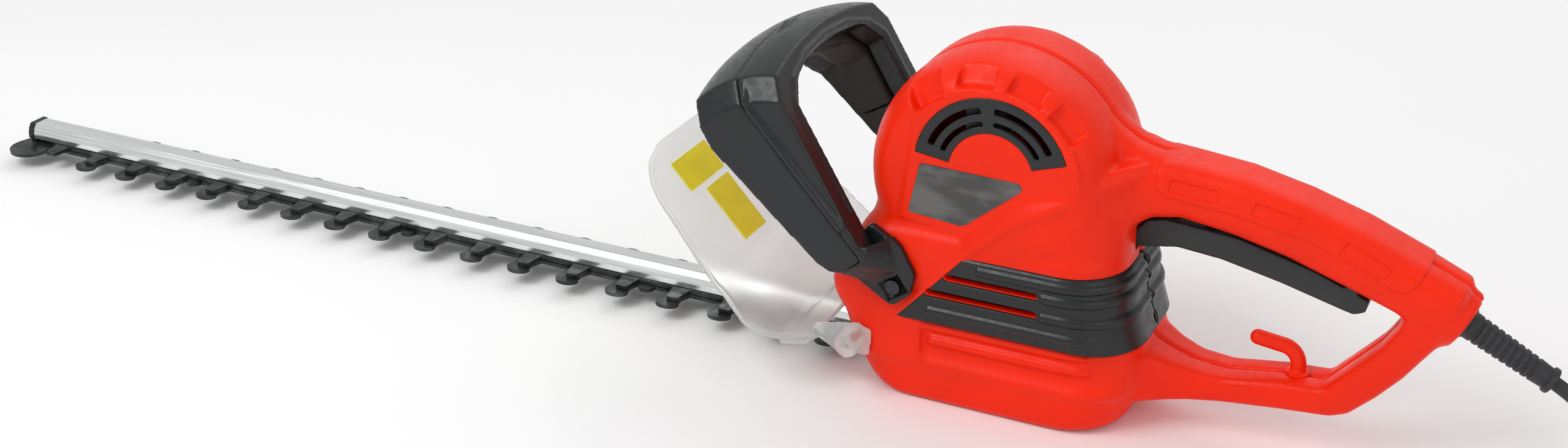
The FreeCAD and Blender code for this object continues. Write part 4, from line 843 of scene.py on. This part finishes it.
def inner_room():
    """Rooms for the motor and the gears, and for the grip's parts."""
    motor = skin("motor_room", [dome_ring(y, r) for y, r in ((-35, 40), (-24, 44), (-12, 50), (12, 50))])
    levels = [(2.6, -48.3, 33, 33), (5, -52, 36, 35), (20, -59, 38, 36), (45, -66, 38, 36.2),
              (60, -66, 38, 36.2), (76, -58, 38, 36.2), (84, -52, 38, 35), (116, -44, 38, 34)]
    gears = skin("gear_room", [plan_ring(*level, 12, 16) for level in levels])
    grip_room = limb("grip_room", [((76, 129), (80, 107), 11.5), ((112, 126), (110, 106), 11.5),
                                   ((139, 120), (135, 100), 11.5), ((165, 112), (160, 93), 11.5),
                                   ((190, 102), (184, 86), 11)], GRIP_POWER)
    return [motor, gears, grip_room]


def air_slots(radius, steps, far):
    """Cutters for the two round-ended air slots; far is how far out they reach."""
    return [prism("slot", arc((start, z), radius, 180, 360, steps)
                  + arc((AIR_SLOT_END, z), radius, 0, 180, steps), far, -30)
            for start, z in AIR_SLOT_STARTS]


def openings():
    """Everything that opens the left shell to the outside."""
    nose = prism("nose_slot", box(-90, -44, 3.5, 22.8), -14.5, 14.5)
    well = prism("well", box(-46, 30, -3, 3), -30, 30)
    trigger_room = prism("trigger_room", [(61.8, 85), (62.6, 101), (70, 110.5), (112, 108), (150, 98),
                                          (168, 99), (173, 86), (172, 76), (160, 73.5), (132, 80.5),
                                          (105, 86), (82, 85)], -8.6, 8.6)
    bore = skin("gland_bore", gland_rings(Vector((190, 0, 89.6)), ((0, 7.4), (40, 7.4)), 24))
    outside = -46
    grille = arc_block(GRILLE_INNER + 2, GRILLE_OUTER - 2, GRILLE_ANGLE - 4, outside, -30)
    recess = arc_block(GRILLE_INNER - 0.3, GRILLE_OUTER + 0.3, GRILLE_ANGLE + 0.4, outside, -38.05)
    return [nose, well, trigger_room, bore, grille, recess] + air_slots(1.7, 8, outside)


def red_half():
    """Left shell: limbs melted into the body, then crisp mouldings, then its rooms and openings."""
    limbs = [lower_body(), neck(), dome(), grip(), top_web(), beam(), strut(), gland()]
    shell = joined("red_shell_left", [keep_side(piece, -0.12) for piece in limbs])
    shell = moulded(shell, LIMB_VOXEL, 5)
    shell = joined("red_shell_left", [shell, ledge_panel()])
    shell = carved(moulded(shell, SHELL_VOXEL, 1), [panel_recess()])
    ribs = [half_rib(-24.5, 57, 41.0), half_rib(-21.5, 58, 33.4)]
    shell = moulded(joined("red_shell_left", [shell, round_disc()] + ribs), SHELL_VOXEL, 1)
    scoop_rim = 57.2
    scoops = [scoop(start, stop, inner, scoop_rim) for start, stop, inner in (
        (-45, -24, 45), (-16, 5, 48.5), (11, 31, 49.5), (36, 56, 49.5))]
    shell = carved(shell, scoops + inner_room() + openings())
    shell = moulded(shell, SHELL_VOXEL, 2)
    return keep_side(shell, -0.1)


def red_shells():
    """Both halves of the red housing."""
    place_pair(smoothed(red_half()), "red_shell_right", "red_plastic", "housing_left", "housing_right")


# ---- black covers ------------------------------------------------------------------------------
def body_rear(z):
    """X of the lower body's rear end at one height."""
    levels = [(40, 76.3), (45, 75.5), (52, 73.2), (59, 70.6), (71, 67.6), (84, 66)]
    for (z0, x0), (z1, x1) in zip(levels, levels[1:]):
        if z <= z1:
            return x0 + (x1 - x0) * (z - z0) / (z1 - z0)
    return levels[-1][1]


# height, front end and rear end of each rib, measured along the wrapped cover
RIBS = ((51.0, -22, 60), (60.0, 33, 999), (69.5, 33, 999), (76.3, 2, 999))


def rib_swell(along, z):
    """How far the cover's ribs stand out; the middle two start behind the air slots."""
    height = 0.0
    for centre, start, stop in RIBS:
        if start <= along <= stop:
            fade = min(1.0, 0.3 + (along - start) / 1.5, 0.1 + (stop - along) / 8.0)
            height += RIB_HEIGHT * fade * math.sqrt(max(0.0, 1 - ((z - centre) / RIB_HALF) ** 2))
    return height


def cover_side(z, edge, steps=110):
    """The cover's row along the side, from its slanted front edge to the rear corner."""
    front = -37 + (z - 44.5) * 0.89
    stop = body_rear(z) - BODY_CORNER
    row = []
    for j in range(steps + 1):
        x = front + (stop - front) * j / steps
        lift = COVER_LIFT * min(edge, 0.3 + j / 3.0) + rib_swell(x, z)
        row.append((x, -BODY_HALF - lift, z))
    return row


def cover_corner(z, edge, steps=44):
    """The cover's row round the rear corner."""
    centre_x, centre_y = body_rear(z) - BODY_CORNER, -(BODY_HALF - BODY_CORNER)
    row = []
    for j in range(1, steps + 1):
        angle = math.pi / 2 * j / steps
        radius = BODY_CORNER + COVER_LIFT * edge + rib_swell(centre_x + BODY_CORNER * angle, z)
        row.append((centre_x + radius * math.sin(angle), centre_y - radius * math.cos(angle), z))
    return row


def cover_rear(z, edge, steps=8):
    """The cover's row across the rear, up to the stepped joint in the middle."""
    tooth_height, tooth, gap = 4.7, 0.9, 1.2
    last_y = tooth * (1 if int(z / tooth_height) % 2 else -1) - gap
    x = body_rear(z) + COVER_LIFT * edge + rib_swell(body_rear(z) + 99, z)
    return [(x, -(BODY_HALF - BODY_CORNER) * (1 - j / steps) + last_y * (j / steps), z)
            for j in range(1, steps + 1)]


def band_half(name):
    """Left half of the ribbed cover, wrapped from a slanted front edge round the rear corner."""
    bottom, top, rows = 43.6, 81.0, 76
    sheet = []
    for i in range(rows + 1):
        z = bottom + (top - bottom) * i / rows
        edge = min(1.0, i / 3.0, (rows - i) / 3.0)
        sheet.append(cover_side(z, edge) + cover_corner(z, edge) + cover_rear(z, edge))
    return grid_solid(name, sheet, COVER_THICKNESS)


def grid_solid(name, rows, thickness):
    """Sheet through rows of points, thickened inwards."""
    count = len(rows[0])
    vertices = [point for row in rows for point in row]
    faces = []
    for i in range(len(rows) - 1):
        for j in range(count - 1):
            a = i * count + j
            faces.append((a, a + 1, a + count + 1, a + count))
    obj = mesh_object(name, vertices, faces)
    solid = obj.modifiers.new("thickness", "SOLIDIFY")
    solid.thickness = thickness * MM
    solid.offset = -1.0
    return baked(obj)


def rib_bands():
    """Both halves of the ribbed cover, open at the air slots."""
    left = smoothed(carved(band_half("rib_cover_left"), air_slots(2.1, 10, -CUTTER_REACH)))
    place_pair(left, "rib_cover_right", "black_plastic", "rib_band_left", "rib_band_right")


def grille_half(name):
    """Arc grille: rounded plate with two rows of slots each side of a spoke."""
    plate = arc_block(GRILLE_INNER, GRILLE_OUTER, GRILLE_ANGLE, -36.5, DISC_FACE - 0.1)
    cutters = []
    for inner, outer in ((23.6, 25.9), (29.4, 32.4)):
        for low, high in ((-66, -6), (6, 66)):
            outline = arc(GRILLE_CENTRE, outer, low - GRILLE_TILT, high - GRILLE_TILT, 16)
            outline += arc(GRILLE_CENTRE, inner, high - GRILLE_TILT, low - GRILLE_TILT, 16)
            cutters.append(prism("slot", outline, -50, -30))
    carved(plate, cutters)
    plate.name = name
    return moulded(plate, GRILLE_VOXEL, 2)


def grilles():
    """Both inlet grilles."""
    left = grille_half("inlet_grille_left")
    place_pair(left, "inlet_grille_right", "black_plastic", "vent_grille_left", "vent_grille_right")


def name_plates():
    """Blank glossy plates with rounded corners on both sides of the disc."""
    outline = [(-27.5, 122.8), (18.5, 121.6), (20.6, 119.6), (19.6, 117.2), (-5.5, 96.2), (-8.5, 95.2),
               (-32.5, 97.2), (-33.8, 98.4), (-29, 121.8)]
    sunk, proud = DISC_FACE + 0.5, DISC_FACE - 0.25
    left = prism("plate_left", outline, sunk, proud)
    right = mirror_copy(left, "plate_right")
    both = joined("blank_plates", [left, right])
    bevel = both.modifiers.new("edge", "BEVEL")
    bevel.width = 0.15 * MM
    bevel.segments = 2
    place(baked(both), ROOT, "label_gloss", "label_plates")


# ---- front handle and guard --------------------------------------------------------------------
RIDGE_RADIUS = 1.9


def bail_point(forward, across, up):
    """A place on the leaning arch: forward of its rear face, across, and up its lean."""
    return ARCH_FOOT + FORWARD * forward + UP * up + Vector((0, across, 0))


def arch_ridge(side, crown, forward_low, forward_top):
    """Rounded ridge along the arch, from the (across, up) points of one side, foot first."""
    line = side + [(0, crown)] + [(-across, up) for across, up in reversed(side)]
    foot, top = side[0][1], side[1][1]
    places = []
    for across, up in line:
        share = min(1.0, (up - foot) / (top - foot))
        places.append(bail_point(forward_low + (forward_top - forward_low) * share, across, up))
    return tube("ridge", places, RIDGE_RADIUS)


def foot_pocket(side):
    """Rectangular pocket round the screw in the arch's foot."""
    tilt = math.radians(35)
    screw_x, screw_z, bottom, outside = -38, 60, 43.9, 52
    outline = [(screw_x + a * math.cos(tilt) - b * math.sin(tilt),
                screw_z + a * math.sin(tilt) + b * math.cos(tilt)) for a, b in box(-6.0, 6.5, -5.2, 4.6)]
    near, far = (-outside, -bottom) if side < 0 else (bottom, outside)
    return prism("pocket", outline, near, far)


def front_handle():
    """Arched handle: rear shell with its ridges and screw pockets, front shell, and the lever."""
    rear = copy_of("bail_rear_shell", "bail_rear")
    inner = arch_ridge([(51.5, 18), (51.5, 75), (42.5, 84), (23.2, 90.6)], 92.6, 0.8, 0.8)
    outer = arch_ridge([(62.8, 14), (62.8, 82), (61, 88), (55.5, 94.2)], 104.2, 2.6, 16.5)
    rear = moulded(joined("bail_rear", [rear, inner, outer]), SHELL_VOXEL, 3)
    carved(rear, [foot_pocket(-1), foot_pocket(1)])
    place(smoothed(rear), ROOT, "black_plastic", "bail_rear_shell")
    softened_node("bail_front_shell", "bail_front", "black_plastic", SHELL_VOXEL, 3)
    softened_node("bail_lever", "lever", "lever_plastic", SHELL_VOXEL, 4, "bail_lever_body")


def guard_half_width(along, length):
    """Half width of the shield: rounded corners at its top, wide at its foot, drawn in at the tabs."""
    corner, apron, foot_half, wide_half, top_half = 30.0, 30, 50, 71, 62
    if along > length - corner:
        drop = (along - (length - corner)) / corner
        return top_half - corner * (1 - math.sqrt(max(0.0, 1 - drop * drop)))
    if along < apron:
        return foot_half + (wide_half - foot_half) * math.sin(math.pi / 2 * along / apron)
    return wide_half - (wide_half - top_half) * (along - apron) / (length - corner - apron)


def guard_path():
    """Side view of the shield's rear face: a curved apron, then the straight screen."""
    apron = [(-76.5, 26.4), (-84, 27.0), (-91, 28.3), (-98, 31.6), (-104, 36), (-110, 41.5), (-116, 47.5)]
    steps, run, rise = 16, 47.5, 51.5
    return apron + [(-122 - run * i / steps, 54 + rise * i / steps - 2.6) for i in range(steps + 1)]


def guard_sheet():
    """Leaning screen and apron as one bent sheet with a turned edge."""
    path = guard_path()
    lengths = [0.0]
    for (x0, z0), (x1, z1) in zip(path, path[1:]):
        lengths.append(lengths[-1] + math.hypot(x1 - x0, z1 - z0))
    steps, lip_height, lip_start, lip_slope, thickness = 40, 1.3, 0.955, 0.7, 2.2
    rows = []
    for (x, z), along in zip(path, lengths):
        half = guard_half_width(along, lengths[-1])
        row = []
        for j in range(steps + 1):
            share = 2 * j / steps - 1
            lip = lip_height * max(0.0, (abs(share) - lip_start) / (1 - lip_start)) * lip_slope
            row.append((x + lip, share * half, z + lip))
        rows.append(row)
    return grid_solid("screen", rows, thickness)


def guard():
    """Milky shield: the bent sheet with the side tabs and screw bosses of the CAD.

    Returns how far along SCREEN_FACE the screen's rear face lies, in millimetres.
    """
    tabs = moulded(copy_of("hand_guard", "tabs"), GUARD_VOXEL, 0)
    trimmed(tabs, prism("tab_zone", box(-88, -40, 10, 40), -80, 80))
    shield = moulded(joined("clear_screen", [guard_sheet(), tabs]), GUARD_VOXEL, 3)
    place(shield, ROOT, "clear_plastic", "hand_guard")
    half, lowest = 20 * MM, 60 * MM
    middle = [v.co / MM for v in shield.data.vertices if abs(v.co.y) < half and v.co.z > lowest]
    return max(SCREEN_FACE.dot(place_mm) for place_mm in middle)


# name, lower and upper edge up the screen's slope, and both side edges
FILMS = (("warning_film", 41.4, 58, -36.5, -2.6), ("sound_film", 6.5, 38.2, -25.5, -3.4))


def blank_stickers(face):
    """Two plain yellow films on the screen's rear face, which lies face millimetres along its normal."""
    foot = Vector((-122, 0, 51))
    foot += SCREEN_FACE * (face - SCREEN_FACE.dot(foot))
    sunk, proud = -0.5, 0.3
    for name, low, high, y0, y1 in FILMS:
        rings = []
        for lift in (sunk, proud):
            corners = ((low, y0), (high, y0), (high, y1), (low, y1))
            rings.append([tuple(foot + SCREEN_UP * up + SCREEN_FACE * lift + Vector((0, y, 0)))
                          for up, y in corners])
        place(skin(name, rings), ROOT, "clear_plastic", material=YELLOW)


# ---- grip's inlay, cord guard and small parts --------------------------------------------------
def grip_form(name, swell):
    """The rear grip's outer form, grown by swell."""
    stations = [((70, 134), (68, 101), 18.8)] + GRIP_STATIONS + [((200, 101.5), (190, 76.5), 15.6)]
    return limb(name, [((x0, z0 + swell), (x1, z1 - swell), half + swell)
                       for (x0, z0), (x1, z1), half in stations], GRIP_POWER)


def inlay():
    """Inlay over the top of the grip, with three sunk finger pads down each side."""
    outline = [(75, 140), (75, 121.5), (79.7, 118), (108.6, 115.4), (144, 109.6), (166, 101.2),
               (183, 93.6), (188, 95), (191.5, 100), (195, 106), (198, 113), (165, 130)]
    proud, pad_depth, half = 0.65, 0.9, 30
    saddle = trimmed(grip_form("saddle", proud), prism("zone", outline, -half, half))
    pads = [[(80.5, 120.6), (101.5, 118.9), (102.7, 125.0), (81.5, 126.8)],
            [(117.5, 117.0), (137.5, 112.9), (139.5, 118.9), (119.5, 123.0)],
            [(157, 106.4), (177.0, 98.1), (180.0, 104.0), (160.0, 112.4)]]
    cuts = [carved(prism("pad", pad, -half, half), [grip_form("core", -pad_depth)]) for pad in pads]
    saddle = moulded(carved(saddle, cuts), SADDLE_VOXEL, 2)
    place(saddle, ROOT, "red_plastic", "grip_saddle")


def cord_guard():
    """Tapered rubber sleeve with ring grooves and a rim round the cord."""
    run = Vector(CORD_ROUTE[0]) - GLAND_START
    length = run.length
    profile = [(-4, 7.2), (15.2, 7.2), (15.8, 6.4)]
    grooves, first, depth = 9, 19.0, 0.55
    pitch = (length - 8 - first) / grooves
    for i in range(grooves):
        at = first + i * pitch
        radius = 6.3 - 1.2 * (at - first) / (length - first)
        bottom = radius - depth
        profile += [(at, radius), (at + 0.5, bottom), (at + 1.2, bottom), (at + 1.7, radius)]
    profile += [(length - 3.4, 5.0), (length - 2.6, 6.1), (length - 0.6, 6.1), (length, 5.4)]
    sleeve = turned("cord_guard", GLAND_START, run, profile)
    carved(sleeve, [turned("bore", GLAND_START, run, [(-8, 3.1), (length + 4, 3.1)], 24)])
    place(smooth_by_angle(sleeve), ROOT, "cord_rubber", "strain_relief")


def trigger():
    """Trigger with closed sides and a cup for its spring, and its pin drawn inside it."""
    x, z = 163.0, 86.5
    across, up = (0, 1, 0), (0, 0, 1)
    boss = turned("boss", (x, -7.7, z), across, [(0, 2.8), (15.4, 2.8)])
    bar = moulded(joined("trigger_bar", [copy_of("trigger", "trigger_bar"), boss]), TRIGGER_VOXEL, 5)
    carved(bar, [turned("cup", (81.6, 0, 96.2), up, [(0, 4.4), (14, 4.4)])])
    place(bar, "trigger_body", "lever_plastic", "trigger")
    pin = turned("trigger_pivot", (x, -6.5, z), across, [(0, 1.6), (0.4, 2), (12.6, 2), (13, 1.6)])
    place(smooth_by_angle(pin), ROOT, "fastener_steel", "trigger_pin")


def springs():
    """The return springs of the trigger and the lever."""
    coil = place(copy_of("trigger_spring", "trigger_coil"), ROOT, "spring_steel", "trigger_spring")
    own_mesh(smoothed(coil))
    coils = place(copy_of("bail_lever_springs", "lever_coils"), ROOT, "spring_steel", "bail_lever_springs")
    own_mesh(smoothed(coils))


paint_nodes()
studio()
cord()
red_shells()
rib_bands()
grilles()
name_plates()
front_handle()
blank_stickers(guard())
inlay()
cord_guard()
springs()
softened_node("cable_hook", "lead_hook", "red_plastic", SMALL_VOXEL, 4)
trigger()
